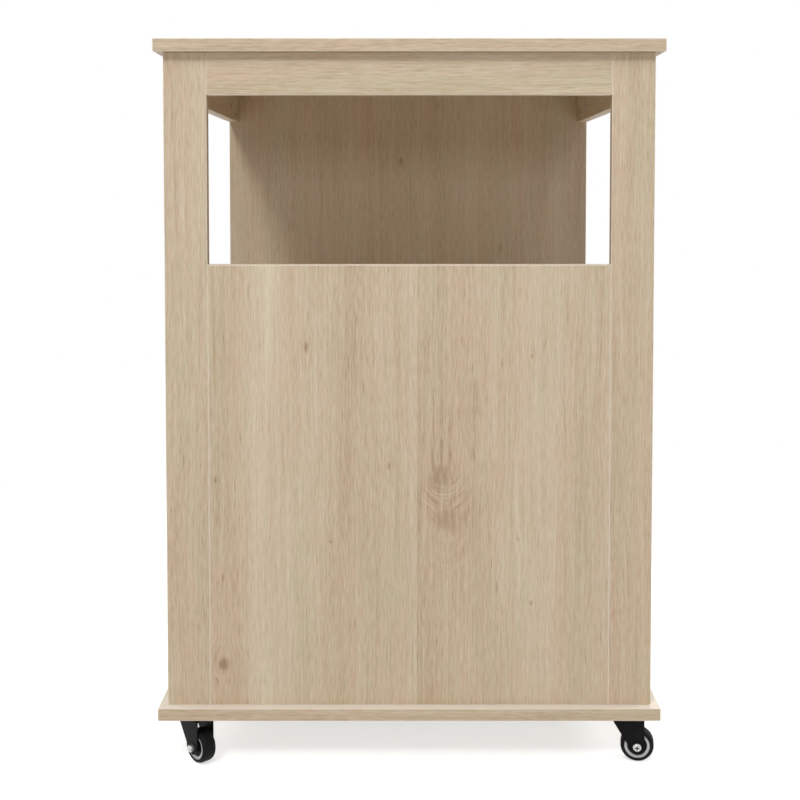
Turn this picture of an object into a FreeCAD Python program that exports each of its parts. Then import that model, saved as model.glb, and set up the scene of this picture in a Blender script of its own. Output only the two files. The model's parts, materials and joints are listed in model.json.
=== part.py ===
"""Microwave cart: an oak-finish board cabinet with an open microwave niche, two doors and four casters.

The frame is in millimetres with +Z up and the floor at Z = 0, under the middle of the top board.
The doors face +X, so the end at -Y is the left end, the framed one with the window, and the end at
+Y is the right one, a plain panel. Every size is a cell of the sheet and is written once. A place is
a formula of those cells, so a piece follows the size of whatever it meets.
"""

import FreeCAD
import Part
import math
import os
import re
import Sketcher

Vector = FreeCAD.Vector

SIZES = {
    # Boards
    "board": 15,                    # thickness of every board
    "edge_round": 0.8,              # radius of the eased board edges
    "body_width": 580,              # cabinet, front to back (X)
    "body_depth": 576,              # cabinet, over its two ends (Y)
    "top_side_overhang": 10,        # top board past the cabinet, front and back
    "top_end_overhang": 12,         # top board past the ends
    "base_side_overhang": 10,       # base board past the cabinet, front and back
    "base_end_overhang": 12,        # base board past the ends
    "stile_width": 51,              # uprights of the left end
    "end_rail_height": 50,          # rail over the window
    "window_height": 200,           # window in the left end
    "lower_panel_height": 530,      # panel under the window
    "side_rail_height": 50,         # rails under the top board, front and back
    "niche_height": 305,            # niche floor to the side rails
    # Adjustable shelf and its pins
    "shelf_clearance": 1,           # to the ends and the back
    "shelf_set_back": 10,           # behind the doors' inner faces
    "shelf_level": 200,             # underside of the shelf above the base board
    "pin_rows": 5,                  # holes in each row
    "pin_pitch": 32,
    "pin_row_inset": 14,            # rows of holes from the edges of the lower panel
    "pin_diameter": 5,
    "pin_hole_depth": 10,
    "pin_reach": 8,                 # how far a pin stands out of the end
    "pin_collar_diameter": 7,
    "pin_collar_thickness": 0.7,
    # Knock-down joints: dowels and cam locks
    "dowel_diameter": 8,
    "dowel_length": 30,
    "dowel_bevel": 1,
    "dowel_face_depth": 10,         # hole in the board that is met
    "hole_clearance": 0.1,          # hole over fastener, on the diameter
    "end_clearance": 0.5,           # hole past the end of its fastener
    "dowel_inset": 110,             # dowels from the corners of upright boards
    "shelf_dowel_offset": 120,      # niche shelf's dowels from its middle
    "rail_dowel_drop": 14,          # rail dowels below the top board
    "cam_diameter": 15,
    "cam_skin": 2.5,                # board left behind a cam's bore
    "cam_setback": 28,              # centre of the cam from the joint
    "cam_slot_width": 1.6,
    "cam_slot_length": 9,
    "cam_slot_depth": 2,
    "cam_cavity_diameter": 7.4,     # takes the bolt's head
    "bolt_bore_diameter": 8,        # bore from the edge to the cam
    "bolt_thread_diameter": 6,
    "bolt_thread_length": 10.5,
    "bolt_shank_diameter": 7,
    "bolt_neck_diameter": 3.4,
    "bolt_neck_length": 3,
    "bolt_head_diameter": 6,
    "bolt_head_length": 3,
    "cam_inset": 50,                # cams from the corners of upright boards
    "shelf_cam_offset": 200,        # niche shelf's cams from its middle
    "rail_cam_offset": 190,         # cams that pull the top board down, from the middle
    "rail_cam_rise": 11,            # end cams above the underside of a side rail
    "end_rail_cam_rise": 15,        # cams above the underside of the end rail
    # Screws up through the base board
    "base_screw_diameter": 5,
    "base_screw_length": 45,
    "base_screw_head_diameter": 9,
    "base_screw_head_height": 2,
    "base_screw_socket_diameter": 4,
    "base_screw_socket_depth": 1.4,
    "end_screw_offset": 180,        # screws under the ends, from the middle
    "back_screw_offset": 150,       # screws under the back panel, from the middle
    # Doors
    "door_gap": 2,                  # over, under and between the doors
    "knob_diameter": 28,
    "knob_length": 20,
    "knob_foot_diameter": 16,
    "knob_neck_diameter": 11,
    "knob_foot_length": 2,
    "knob_cap_length": 8,
    "knob_round": 3,                # radius of the cap's edges
    "knob_edge_inset": 30,          # from the door's free edge
    "knob_drop": 70,                # below the door's top edge
    "knob_screw_diameter": 4,
    "knob_screw_bite": 9,           # thread inside the knob
    "knob_screw_head_diameter": 8.5,
    "knob_screw_head_height": 2.4,
    "knob_screw_crown_diameter": 6,
    # Butt hinges
    "hinge_axis_reach": 0.5,        # pin's axis in front of the boards' front faces
    "leaf_thickness": 1,
    "leaf_width": 14,               # from the pin's axis
    "leaf_length": 50,
    "knuckle_radius": 2,
    "knuckle_gap": 0.3,             # between knuckles, and from them to the boards
    "knuckle_middle": 18,           # length of the door's knuckle
    "hinge_pin_radius": 1,
    "hinge_pin_clearance": 0.05,
    "hinge_pin_head_radius": 1.7,
    "hinge_pin_head_height": 1,
    "hinge_inset": 50,              # middle of a hinge from the door's end
    "hinge_screw_spread": 34,       # between a leaf's two screws
    "hinge_screw_inset": 6.5,       # from the board's front face
    "small_screw_diameter": 3,
    "small_screw_length": 12,
    "small_screw_countersink": 0.9,
    # Magnetic catch
    "catch_depth": 16,
    "catch_height": 13,
    "catch_wall": 2,                # beside the magnets
    "catch_corner": 4,
    "catch_ear_length": 9,
    "catch_ear_thickness": 3,
    "catch_magnet_width": 10,
    "catch_magnet_height": 5,
    "catch_magnet_recess": 0.8,
    "catch_plate_width": 12,
    "catch_plate_length": 20,
    "catch_plate_thickness": 1.2,
    "catch_plate_corner": 3,
    "catch_plate_inset": 13,        # its middle from the door's free edge
    "catch_plate_drop": 1,          # below the door's top edge
    "catch_gap": 0.3,
    # Casters
    "front_caster_inset": 32,       # swivel from the front edge of the base board
    "back_caster_inset": 40,        # swivel from the back edge of the base board
    "end_caster_inset": 33,         # swivel from the end edges of the base board
    "front_left_yaw": -10,          # heading in degrees in which the wheel trails
    "front_right_yaw": 35,
    "back_left_yaw": -45,
    "back_right_yaw": 205,
    "plate_margin": 6,              # past the screws
    "plate_corner": 4,
    "plate_thickness": 2,
    "plate_screw_spread": 30,
    "plate_screw_diameter": 3.5,
    "plate_screw_length": 12,
    "plate_screw_hole": 4.2,
    "plate_screw_head_diameter": 7,
    "plate_screw_head_height": 1.8,
    "plate_screw_crown_diameter": 4.2,
    "dish_depth": 4.5,              # pressed seat of the swivel, from the plate's top
    "dish_floor_radius": 12,
    "dish_wall": 2.2,
    "kingpin_radius": 4,
    "kingpin_head_radius": 6.8,
    "kingpin_head_height": 2,
    "kingpin_head_bevel": 1,
    "washer_thickness": 0.8,        # plastic washer that the fork turns under
    "washer_radius": 11,
    "swivel_gap": 0.3,
    "running_clearance": 0.05,
    "trail": 10,                    # axle behind the swivel
    "fork_length": 37,              # crown along the trail
    "fork_thickness": 1.8,
    "fork_bend": 3,                 # outside radius of the bends
    "fork_skirt": 5,                # upright front edge under the crown
    "fork_foot_radius": 8.5,        # rounded foot about the axle
    "fork_boss_radius": 6.5,
    "fork_boss_height": 0.5,
    "axle_diameter": 5,
    "axle_head_diameter": 10,
    "axle_head_height": 3.4,
    "axle_head_rim": 1.6,           # height of the head's straight edge
    "axle_head_shoulder_height": 2.5,
    "axle_head_shoulder_diameter": 8.7,
    "axle_head_flat_diameter": 5.5,
    "axle_tip_bevel": 0.6,
    "axle_cross_length": 6,
    "axle_cross_width": 1.4,
    "axle_cross_depth": 1.6,
    "axle_thread_end": 2.4,         # thread past the nut
    "nut_width": 8,
    "nut_height": 4,
    "wheel_radius": 20,
    "wheel_width": 18,
    "wheel_side_gap": 1.7,          # tyre to the fork's legs
    "wheel_crown_gap": 12.6,        # tyre to the fork's crown
    "tread_half_width": 5.2,
    "shoulder_drop": 0.9,
    "shoulder_half_width": 7.6,
    "side_drop": 2.8,
    "rim_outer_radius": 15.2,
    "rim_inner_radius": 11.8,
    "rim_recess": 0.8,              # rim behind the tyre's side
    "rim_bevel": 0.5,
    "web_recess": 2.2,              # hub's web behind the tyre's side
    "hub_boss_radius": 6.2,
    "hub_boss_flare": 1,            # wider at the web
    "hub_side_gap": 0.3,            # boss to the fork's legs
}

doc = FreeCAD.newDocument("MicrowaveCart")
sheet = doc.addObject("Spreadsheet::Sheet", "Sizes")
for row, (alias, value) in enumerate(SIZES.items(), start=1):
    sheet.set(f"A{row}", alias.replace("_", " "))
    sheet.set(f"B{row}", str(value))
    sheet.setAlias(f"B{row}", alias)
doc.recompute()

PARTS = []       # every sub-part that is written out

# Levels and faces of the cabinet, as formulas of the sheet's cells
CROWN_UNDER = "(2 * wheel_radius + wheel_crown_gap)"
CROWN_TOP = f"({CROWN_UNDER} + fork_thickness)"
DISH_UNDER = f"({CROWN_TOP} + swivel_gap + washer_thickness)"
BASE_UNDER = f"({DISH_UNDER} + dish_depth)"
BASE_TOP = f"({BASE_UNDER} + board)"
LIP = f"({BASE_TOP} + lower_panel_height)"
WINDOW_TOP = f"({LIP} + window_height)"
BODY_TOP = f"({WINDOW_TOP} + end_rail_height)"
RAIL_BOTTOM = f"({BODY_TOP} - side_rail_height)"
NICHE_FLOOR = f"({RAIL_BOTTOM} - niche_height)"
SHELF_UNDER = f"({NICHE_FLOOR} - board)"
FRONT = "(body_width / 2)"
INNER_FRONT = "(body_width / 2 - board)"
END = "(body_depth / 2)"
INNER_END = "(body_depth / 2 - board)"
MIDDLE_OF_SIDE = "(body_width / 2 - board / 2)"
MIDDLE_OF_END = "(body_depth / 2 - board / 2)"
WINDOW_EDGE = "(body_width / 2 - stile_width)"
SCREW_HOLE = "(small_screw_diameter + hole_clearance)"

PICKING_TOLERANCE = 0.01     # for finding edges by their place
SMALLEST_CUT = 0.01          # in cubic millimetres

# Directions of joints and fasteners
WAYS = {
    "+X": Vector(1, 0, 0), "-X": Vector(-1, 0, 0),
    "+Y": Vector(0, 1, 0), "-Y": Vector(0, -1, 0),
    "+Z": Vector(0, 0, 1), "-Z": Vector(0, 0, -1),
}
OPPOSITE = {"+": "-", "-": "+"}

# Origin plane to sketch on for work along an axis, its two sketch axes and which way it faces
WORK_PLANES = {
    "X": ("YZ_Plane", "Y", "Z", 1),
    "Y": ("XZ_Plane", "X", "Z", -1),
    "Z": ("XY_Plane", "X", "Y", 1),
}


def bind(thing, setting, formula):
    """Tie a property or constraint to a formula of the sheet's cells."""
    def cell(word):
        return f"Sizes.{word[0]}" if word[0] in SIZES else word[0]
    thing.setExpression(setting, re.sub(r"[a-z]\w*", cell, formula))


def value_of(formula):
    return float(sheet.evalExpression(formula))


def same(first, second):
    return abs(first - second) < PICKING_TOLERANCE


def place(thing, corner, rotation=None):
    """Put an object at a place given as three formulas, turned by a fixed rotation."""
    if rotation is not None:
        thing.Placement = FreeCAD.Placement(Vector(), rotation)
    for axis, formula in zip("xyz", corner):
        bind(thing, f"Placement.Base.{axis}", formula)


def new_body(name, kept=True):
    body = doc.addObject("PartDesign::Body", name)
    body.Label = name
    if kept:
        PARTS.append(body)
    return body


def sketch_on(body, axis, level="0"):
    """Start a sketch across an axis of a body, level millimetres along that axis."""
    role, _, _, facing = WORK_PLANES[axis]
    sketch = body.newObject("Sketcher::SketchObject", f"{body.Name}_sketch")
    support = next(item for item in body.Origin.OriginFeatures if item.Role == role)
    sketch.AttachmentSupport = (support, "")
    sketch.MapMode = "FlatFace"
    bind(sketch, "AttachmentOffset.Base.z", f"{facing} * ({level})")
    return sketch


def pin_point(sketch, geometry, point, place_in_sketch):
    """Dimension a point of a sketch from its origin."""
    for kind, formula in zip(("DistanceX", "DistanceY"), place_in_sketch):
        constraint = sketch.addConstraint(
            Sketcher.Constraint(kind, -1, 1, geometry, point, value_of(formula)))
        bind(sketch, f"Constraints[{constraint}]", formula)


def draw_polygon(sketch, corners):
    """Draw a closed outline of straight lines, each corner dimensioned from the origin."""
    count = len(corners)
    points = [Vector(value_of(across), value_of(up)) for across, up in corners]
    first = sketch.GeometryCount
    for index, point in enumerate(points):
        sketch.addGeometry(Part.LineSegment(point, points[(index + 1) % count]))
    for index, corner in enumerate(corners):
        following = first + (index + 1) % count
        sketch.addConstraint(Sketcher.Constraint("Coincident", first + index, 2, following, 1))
        pin_point(sketch, first + index, 1, corner)


def draw_rectangle(sketch, low, high):
    draw_polygon(sketch, [low, (high[0], low[1]), high, (low[0], high[1])])


def draw_circle(sketch, centre, diameter):
    middle = Vector(value_of(centre[0]), value_of(centre[1]))
    circle = Part.Circle(middle, Vector(0, 0, 1), value_of(diameter) / 2)
    geometry = sketch.addGeometry(circle)
    pin_point(sketch, geometry, 3, centre)
    constraint = sketch.addConstraint(Sketcher.Constraint("Diameter", geometry, value_of(diameter)))
    bind(sketch, f"Constraints[{constraint}]", diameter)


def pad(body, sketch, length, both_ways=False):
    """Add material from a sketch, along its normal or to both sides of it."""
    feature = body.newObject("PartDesign::Pad", f"{body.Name}_pad")
    feature.Profile = sketch
    feature.SideType = "Symmetric" if both_ways else "One side"
    bind(feature, "Length", length)
    return feature


def pocket(body, sketch, depth=None, along_normal=False):
    """Cut a sketch out of a body: to a depth, or right through both ways where none is given."""
    feature = body.newObject("PartDesign::Pocket", f"{body.Name}_pocket")
    feature.Profile = sketch
    if depth is None:
        feature.Type = "ThroughAll"
        feature.SideType = "Symmetric"
    else:
        feature.Reversed = along_normal
        bind(feature, "Length", depth)
    return feature


def turn(body, sketch, axis_name):
    """Turn a half section about an axis of its sketch."""
    feature = body.newObject("PartDesign::Revolution", f"{body.Name}_turned")
    feature.Profile = sketch
    feature.ReferenceAxis = (sketch, [axis_name])
    feature.Angle = 360
    return feature


def turned_body(name, half_section, kept=False):
    """A round piece about its own Z axis, from (radius, height) corners."""
    body = new_body(name, kept)
    sketch = sketch_on(body, "Y")
    draw_polygon(sketch, half_section)
    turn(body, sketch, "V_Axis")
    return body


def round_edges(body, base, radius, chosen):
    """Round the edges of a feature that the test picks by their middle point and direction."""
    doc.recompute()
    names = []
    for number, edge in enumerate(base.Shape.Edges, start=1):
        if isinstance(edge.Curve, Part.Line):
            middle = edge.valueAt((edge.FirstParameter + edge.LastParameter) / 2)
            if chosen(middle, edge.tangentAt(edge.FirstParameter)):
                names.append(f"Edge{number}")
    feature = body.newObject("PartDesign::Fillet", f"{body.Name}_fillet")
    feature.Base = (base, names)
    bind(feature, "Radius", radius)
    return feature


def countersink(body, drilled, is_mouth):
    """Widen the mouths of small screw holes, which the test picks by their centre."""
    doc.recompute()
    radius = value_of(SCREW_HOLE) / 2
    names = [
        f"Edge{number}" for number, edge in enumerate(drilled.Shape.Edges, start=1)
        if isinstance(edge.Curve, Part.Circle) and same(edge.Curve.Radius, radius)
        and is_mouth(edge.Curve.Center)]
    feature = body.newObject("PartDesign::Chamfer", f"{body.Name}_countersink")
    feature.Base = (drilled, names)
    bind(feature, "Size", "small_screw_countersink")


class Board:
    """A board with eased edges. Its lowest corner and its size are formulas along X, Y and Z."""

    def __init__(self, name, low, high):
        self.low = dict(zip("XYZ", low))
        self.high = dict(zip("XYZ", high))
        self.body = new_body(name)
        length, width, height = (f"({self.high[axis]} - {self.low[axis]})" for axis in "XYZ")
        outline = sketch_on(self.body, "Z")
        draw_rectangle(outline, ("0", "0"), (length, width))
        slab = pad(self.body, outline, height)
        easing = self.body.newObject("PartDesign::Fillet", f"{name}_easing")
        easing.Base = (slab, [])
        easing.UseAllEdges = True
        bind(easing, "Radius", "edge_round")
        place(self.body, low)

    def face(self, way):
        """Where the face that looks a way lies, as a formula."""
        return self.high[way[1]] if way[0] == "+" else self.low[way[1]]

    def drill(self, way, spots, diameter, depth):
        """Drill into the face that looks a way, at spots given by their other two coordinates."""
        _, first, second, facing = WORK_PLANES[way[1]]
        sketch = sketch_on(self.body, way[1], f"{self.face(way)} - {self.low[way[1]]}")
        for spot in spots:
            centre = [f"{spot[axis]} - {self.low[axis]}" for axis in (first, second)]
            draw_circle(sketch, centre, diameter)
        outward = 1 if way[0] == "+" else -1
        pocket(self.body, sketch, depth, along_normal=outward != facing)


class Group:
    """Identical fasteners: copies of one master, gathered in one sub-part."""

    def __init__(self, name, *masters):
        self.name = name
        self.masters = masters
        self.copies = []

    def add(self, spot, rotation):
        for master in self.masters:
            copy = doc.addObject("App::Link", f"{self.name}_{len(self.copies) + 1}")
            copy.LinkedObject = master
            place(copy, spot, rotation)
            self.copies.append(copy)

    def close(self):
        group = doc.addObject("Part::Compound", self.name)
        group.Label = self.name
        group.Links = self.copies
        PARTS.append(group)
        return group


def point_along(way):
    """Turn a piece's Z axis to a way."""
    return FreeCAD.Rotation(Vector(0, 0, 1), WAYS[way])


def opposite(way):
    return OPPOSITE[way[0]] + way[1]


def spot_on(way, level, other):
    """A place as three formulas: level along the way's axis, the rest from the other two."""
    return [level if axis == way[1] else other[axis] for axis in "XYZ"]


# ---------------------------------------------------------------- fastener masters

def make_dowel():
    """Wooden dowel across a joint at its Z = 0, with the short end upwards."""
    top = "dowel_face_depth - end_clearance"
    bottom = f"{top} - dowel_length"
    radius = "dowel_diameter / 2"
    return turned_body("dowel_master", [
        ("0", bottom), (f"{radius} - dowel_bevel", bottom), (radius, f"{bottom} + dowel_bevel"),
        (radius, f"{top} - dowel_bevel"), (f"{radius} - dowel_bevel", top), ("0", top)])


def make_cam_bolt():
    """Bolt screwed into the board that is met, above Z = 0. Its head reaches down to the cam."""
    head_top = "-cam_setback + bolt_head_length / 2"
    head_bottom = "-cam_setback - bolt_head_length / 2"
    neck_top = f"{head_top} + bolt_neck_length"
    head, neck, shank, thread = (
        f"bolt_{piece}_diameter / 2" for piece in ("head", "neck", "shank", "thread"))
    return turned_body("cam_bolt_master", [
        ("0", head_bottom), (head, head_bottom), (head, head_top), (neck, head_top),
        (neck, neck_top), (shank, neck_top), (shank, "0"), (thread, "0"),
        (thread, "bolt_thread_length"), ("0", "bolt_thread_length")])


def make_cam():
    """Cam lock under its face at Z = 0, with the bolt coming in along +X."""
    body = new_body("cam_master", kept=False)
    disc = sketch_on(body, "Z")
    draw_circle(disc, ("0", "0"), "cam_diameter - hole_clearance")
    pad(body, disc, "board - cam_skin - end_clearance").Reversed = True
    cavity = sketch_on(body, "X", "cam_diameter / 2")
    draw_circle(cavity, ("0", "-board / 2"), "cam_cavity_diameter")
    pocket(body, cavity, "cam_diameter / 2 + bolt_head_length")
    for length, width in (("cam_slot_length", "cam_slot_width"), ("cam_slot_width", "cam_slot_length")):
        slot = sketch_on(body, "Z")
        draw_rectangle(slot, (f"-{length} / 2", f"-{width} / 2"), (f"{length} / 2", f"{width} / 2"))
        pocket(body, slot, "cam_slot_depth")
    return body


def make_base_screw():
    """Screw with its head flush at Z = 0 and a round-bottomed socket, pointing up."""
    head = "base_screw_head_diameter / 2"
    socket = "base_screw_socket_diameter / 2"
    shank = "base_screw_diameter / 2"
    return turned_body("base_screw_master", [
        ("0", "base_screw_socket_depth"), (socket, "base_screw_socket_depth"), (socket, "0"),
        (head, "0"), (head, "base_screw_head_height"), (shank, "base_screw_head_height"),
        (shank, f"base_screw_length - {shank}"), ("0", "base_screw_length")])


def make_small_screw():
    """Countersunk screw with its head's face at Z = 0, pointing up."""
    shank = "small_screw_diameter / 2"
    return turned_body("small_screw_master", [
        ("0", "0"), (f"{shank} + small_screw_countersink", "0"), (shank, "small_screw_countersink"),
        (shank, f"small_screw_length - 2 * {shank}"), ("0", "small_screw_length")])


def make_plate_screw():
    """Pan-head screw whose head seats at Z = 0, pointing up."""
    head = "plate_screw_head_diameter / 2"
    shank = "plate_screw_diameter / 2"
    crown = "-plate_screw_head_height"
    return turned_body("plate_screw_master", [
        ("0", crown), ("plate_screw_crown_diameter / 2", crown), (head, f"{crown} / 2"), (head, "0"),
        (shank, "0"),
        (shank, f"plate_screw_length - 2 * {shank}"), ("0", "plate_screw_length")])


def make_shelf_pin():
    """Shelf pin with its collar on the board's face at Z = 0 and its plug upwards."""
    pin = "pin_diameter / 2"
    collar = "pin_collar_diameter / 2"
    return turned_body("shelf_pin_master", [
        ("0", "-pin_reach"), (pin, "-pin_reach"), (pin, "-pin_collar_thickness"),
        (collar, "-pin_collar_thickness"), (collar, "0"), (pin, "0"),
        (pin, "pin_hole_depth - end_clearance"), ("0", "pin_hole_depth - end_clearance")])


dowels = Group("dowels", make_dowel())
cam_bolts = Group("cam_bolts", make_cam_bolt())
cam_locks = Group("cam_locks", make_cam())
base_screws = Group("base_screws", make_base_screw())
shelf_pins = Group("shelf_pins", make_shelf_pin())
small_screw = make_small_screw()
plate_screw = make_plate_screw()


# ---------------------------------------------------------------- joints between boards

def dowel_joint(way, edged, met, spots):
    """Dowel the edge of one board, looking a way, to the face of the next."""
    hole = "dowel_diameter + hole_clearance"
    edged.drill(way, spots, hole, "dowel_length - dowel_face_depth + 2 * end_clearance")
    met.drill(opposite(way), spots, hole, "dowel_face_depth")
    for spot in spots:
        dowels.add(spot_on(way, edged.face(way), spot), point_along(way))


def cam_joint(way, edged, met, cam_way, spots):
    """Draw the edge of one board, looking a way, to the next with cams set in its cam_way face."""
    edged.drill(way, spots, "bolt_bore_diameter", "cam_setback")
    met.drill(opposite(way), spots, "bolt_thread_diameter + hole_clearance",
              "bolt_thread_length + end_clearance")
    sign = "-" if way[0] == "+" else "+"
    cam_level = f"({edged.face(way)} {sign} cam_setback)"
    cam_spots = [dict(spot, **{way[1]: cam_level}) for spot in spots]
    edged.drill(cam_way, cam_spots, "cam_diameter", "board - cam_skin")
    turned = FreeCAD.Rotation(WAYS[way], WAYS[cam_way].cross(WAYS[way]), WAYS[cam_way], "ZXY")
    for spot, cam_spot in zip(spots, cam_spots):
        cam_bolts.add(spot_on(way, edged.face(way), spot), point_along(way))
        cam_locks.add(spot_on(cam_way, edged.face(cam_way), cam_spot), turned)


def screw_up(base, upright, spots):
    """Screw the base board to the bottom edge of an upright board."""
    base.drill("-Z", spots, "base_screw_head_diameter + hole_clearance", "base_screw_head_height")
    base.drill("-Z", spots, "base_screw_diameter + hole_clearance", "board")
    upright.drill("-Z", spots, "base_screw_diameter + hole_clearance",
                  "base_screw_length - board + end_clearance")
    for spot in spots:
        base_screws.add(spot_on("+Z", base.face("-Z"), spot), point_along("+Z"))


# ---------------------------------------------------------------- cabinet boards

top_board = Board(
    "top_board",
    (f"-({FRONT} + top_side_overhang)", f"-({END} + top_end_overhang)", BODY_TOP),
    (f"({FRONT} + top_side_overhang)", f"({END} + top_end_overhang)", f"({BODY_TOP} + board)"))
BASE_SIDE = f"({FRONT} + base_side_overhang)"
BASE_END = f"({END} + base_end_overhang)"
base_board = Board(
    "base_board",
    (f"-{BASE_SIDE}", f"-{BASE_END}", BASE_UNDER), (BASE_SIDE, BASE_END, BASE_TOP))
front_stile = Board(
    "left_end_front_stile",
    (WINDOW_EDGE, f"-{END}", BASE_TOP), (FRONT, f"-{INNER_END}", BODY_TOP))
back_stile = Board(
    "left_end_back_stile",
    (f"-{FRONT}", f"-{END}", BASE_TOP), (f"-{WINDOW_EDGE}", f"-{INNER_END}", BODY_TOP))
end_rail = Board(
    "left_end_top_rail",
    (f"-{WINDOW_EDGE}", f"-{END}", WINDOW_TOP), (WINDOW_EDGE, f"-{INNER_END}", BODY_TOP))
lower_panel = Board(
    "left_end_lower_panel",
    (f"-{WINDOW_EDGE}", f"-{END}", BASE_TOP), (WINDOW_EDGE, f"-{INNER_END}", LIP))
right_end = Board(
    "right_end_panel",
    (f"-{FRONT}", INNER_END, BASE_TOP), (FRONT, END, BODY_TOP))
front_rail = Board(
    "front_top_rail",
    (INNER_FRONT, f"-{INNER_END}", RAIL_BOTTOM), (FRONT, INNER_END, BODY_TOP))
back_rail = Board(
    "back_top_rail",
    (f"-{FRONT}", f"-{INNER_END}", RAIL_BOTTOM), (f"-{INNER_FRONT}", INNER_END, BODY_TOP))
niche_shelf = Board(
    "niche_shelf",
    (f"-{FRONT}", f"-{INNER_END}", SHELF_UNDER), (FRONT, INNER_END, NICHE_FLOOR))
back_panel = Board(
    "back_panel",
    (f"-{FRONT}", f"-{INNER_END}", BASE_TOP), (f"-{INNER_FRONT}", INNER_END, SHELF_UNDER))
SHELF_BACK = f"-({INNER_FRONT} - shelf_clearance)"
SHELF_FRONT = f"({INNER_FRONT} - shelf_set_back)"
SHELF_END = f"({INNER_END} - shelf_clearance)"
SHELF_BOTTOM = f"({BASE_TOP} + shelf_level)"
adjustable_shelf = Board(
    "adjustable_shelf",
    (SHELF_BACK, f"-{SHELF_END}", SHELF_BOTTOM), (SHELF_FRONT, SHELF_END, f"({SHELF_BOTTOM} + board)"))


def join_left_end():
    """Stiles, rail and lower panel make the framed end."""
    for way, stile in (("+X", front_stile), ("-X", back_stile)):
        dowel_joint(way, lower_panel, stile, [
            {"Y": f"-{MIDDLE_OF_END}", "Z": f"({BASE_TOP} + dowel_inset)"},
            {"Y": f"-{MIDDLE_OF_END}", "Z": f"({LIP} - dowel_inset)"}])
        cam_joint(way, lower_panel, stile, "+Y", [
            {"Y": f"-{MIDDLE_OF_END}", "Z": f"({BASE_TOP} + cam_inset)"},
            {"Y": f"-{MIDDLE_OF_END}", "Z": f"({LIP} - cam_inset)"}])
        dowel_joint(way, end_rail, stile, [
            {"Y": f"-{MIDDLE_OF_END}", "Z": f"({BODY_TOP} - rail_dowel_drop)"}])
        cam_joint(way, end_rail, stile, "+Y", [
            {"Y": f"-{MIDDLE_OF_END}", "Z": f"({WINDOW_TOP} + end_rail_cam_rise)"}])


def join_side_rail(rail, side, inward, left_upright):
    """A side rail holds the two ends together, and its cams pull the top board down."""
    across = f"{side}{MIDDLE_OF_SIDE}"
    for way, upright in (("-Y", left_upright), ("+Y", right_end)):
        dowel_joint(way, rail, upright, [{"X": across, "Z": f"({BODY_TOP} - rail_dowel_drop)"}])
        cam_joint(way, rail, upright, inward, [{"X": across, "Z": f"({RAIL_BOTTOM} + rail_cam_rise)"}])
    cam_joint("+Z", rail, top_board, inward, [
        {"X": across, "Y": "-rail_cam_offset"}, {"X": across, "Y": "rail_cam_offset"}])


def join_niche_shelf():
    middle = f"({NICHE_FLOOR} - board / 2)"
    for way, upright in (("-Y", lower_panel), ("+Y", right_end)):
        dowel_joint(way, niche_shelf, upright, [
            {"X": "-shelf_dowel_offset", "Z": middle}, {"X": "shelf_dowel_offset", "Z": middle}])
        cam_joint(way, niche_shelf, upright, "-Z", [
            {"X": "-shelf_cam_offset", "Z": middle}, {"X": "shelf_cam_offset", "Z": middle}])


def join_back_panel():
    across = f"-{MIDDLE_OF_SIDE}"
    for way, upright in (("-Y", back_stile), ("+Y", right_end)):
        dowel_joint(way, back_panel, upright, [
            {"X": across, "Z": f"({BASE_TOP} + dowel_inset)"},
            {"X": across, "Z": f"({SHELF_UNDER} - dowel_inset)"}])
        cam_joint(way, back_panel, upright, "+X", [
            {"X": across, "Z": f"({BASE_TOP} + cam_inset)"},
            {"X": across, "Z": f"({SHELF_UNDER} - cam_inset)"}])


def join_base():
    screw_up(base_board, right_end, [
        {"X": x, "Y": MIDDLE_OF_END} for x in ("-end_screw_offset", "0", "end_screw_offset")])
    screw_up(base_board, lower_panel, [
        {"X": x, "Y": f"-{MIDDLE_OF_END}"} for x in ("-end_screw_offset", "0", "end_screw_offset")])
    screw_up(base_board, back_panel, [
        {"X": f"-{MIDDLE_OF_SIDE}", "Y": y} for y in ("-back_screw_offset", "back_screw_offset")])


def fit_adjustable_shelf():
    """Rows of pin holes in both ends, with a pin under each corner of the shelf."""
    pin_level = f"({SHELF_BOTTOM} - pin_diameter / 2)"
    column = f"({WINDOW_EDGE} - pin_row_inset)"
    rows = int(sheet.pin_rows)
    for way, upright in (("+Y", lower_panel), ("-Y", right_end)):
        for x in (f"-{column}", column):
            upright.drill(way, [
                {"X": x, "Z": f"({pin_level} + {row - rows // 2} * pin_pitch)"} for row in range(rows)],
                "pin_diameter + hole_clearance", "pin_hole_depth")
            shelf_pins.add(spot_on(way, upright.face(way), {"X": x, "Z": pin_level}),
                           point_along(opposite(way)))


join_left_end()
join_side_rail(front_rail, "", "-X", front_stile)
join_side_rail(back_rail, "-", "+X", back_stile)
join_niche_shelf()
join_back_panel()
join_base()
fit_adjustable_shelf()
for group in (dowels, cam_bolts, cam_locks, base_screws, shelf_pins):
    group.close()


# ---------------------------------------------------------------- doors

HALF_HINGE_GAP = "(knuckle_radius + knuckle_gap)"
DOOR_END = f"({INNER_END} - 2 * {HALF_HINGE_GAP})"
HINGE_X = f"({FRONT} + hinge_axis_reach)"
HINGE_Y = f"({INNER_END} - {HALF_HINGE_GAP})"
DOOR_BOTTOM = f"({BASE_TOP} + door_gap)"
DOOR_TOP = f"({SHELF_UNDER} - door_gap)"
HINGE_LEVELS = (f"({DOOR_BOTTOM} + hinge_inset)", f"({DOOR_TOP} - hinge_inset)")
HINGE_SCREW_X = f"({FRONT} - hinge_screw_inset)"
KNOB_LEVEL = f"({DOOR_TOP} - knob_drop)"
CATCH_PLATE_LEVEL = f"({DOOR_TOP} - catch_plate_drop - catch_plate_width / 2)"


def screw_levels(hinge_level):
    return [f"({hinge_level} {sign} hinge_screw_spread / 2)" for sign in "-+"]


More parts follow.
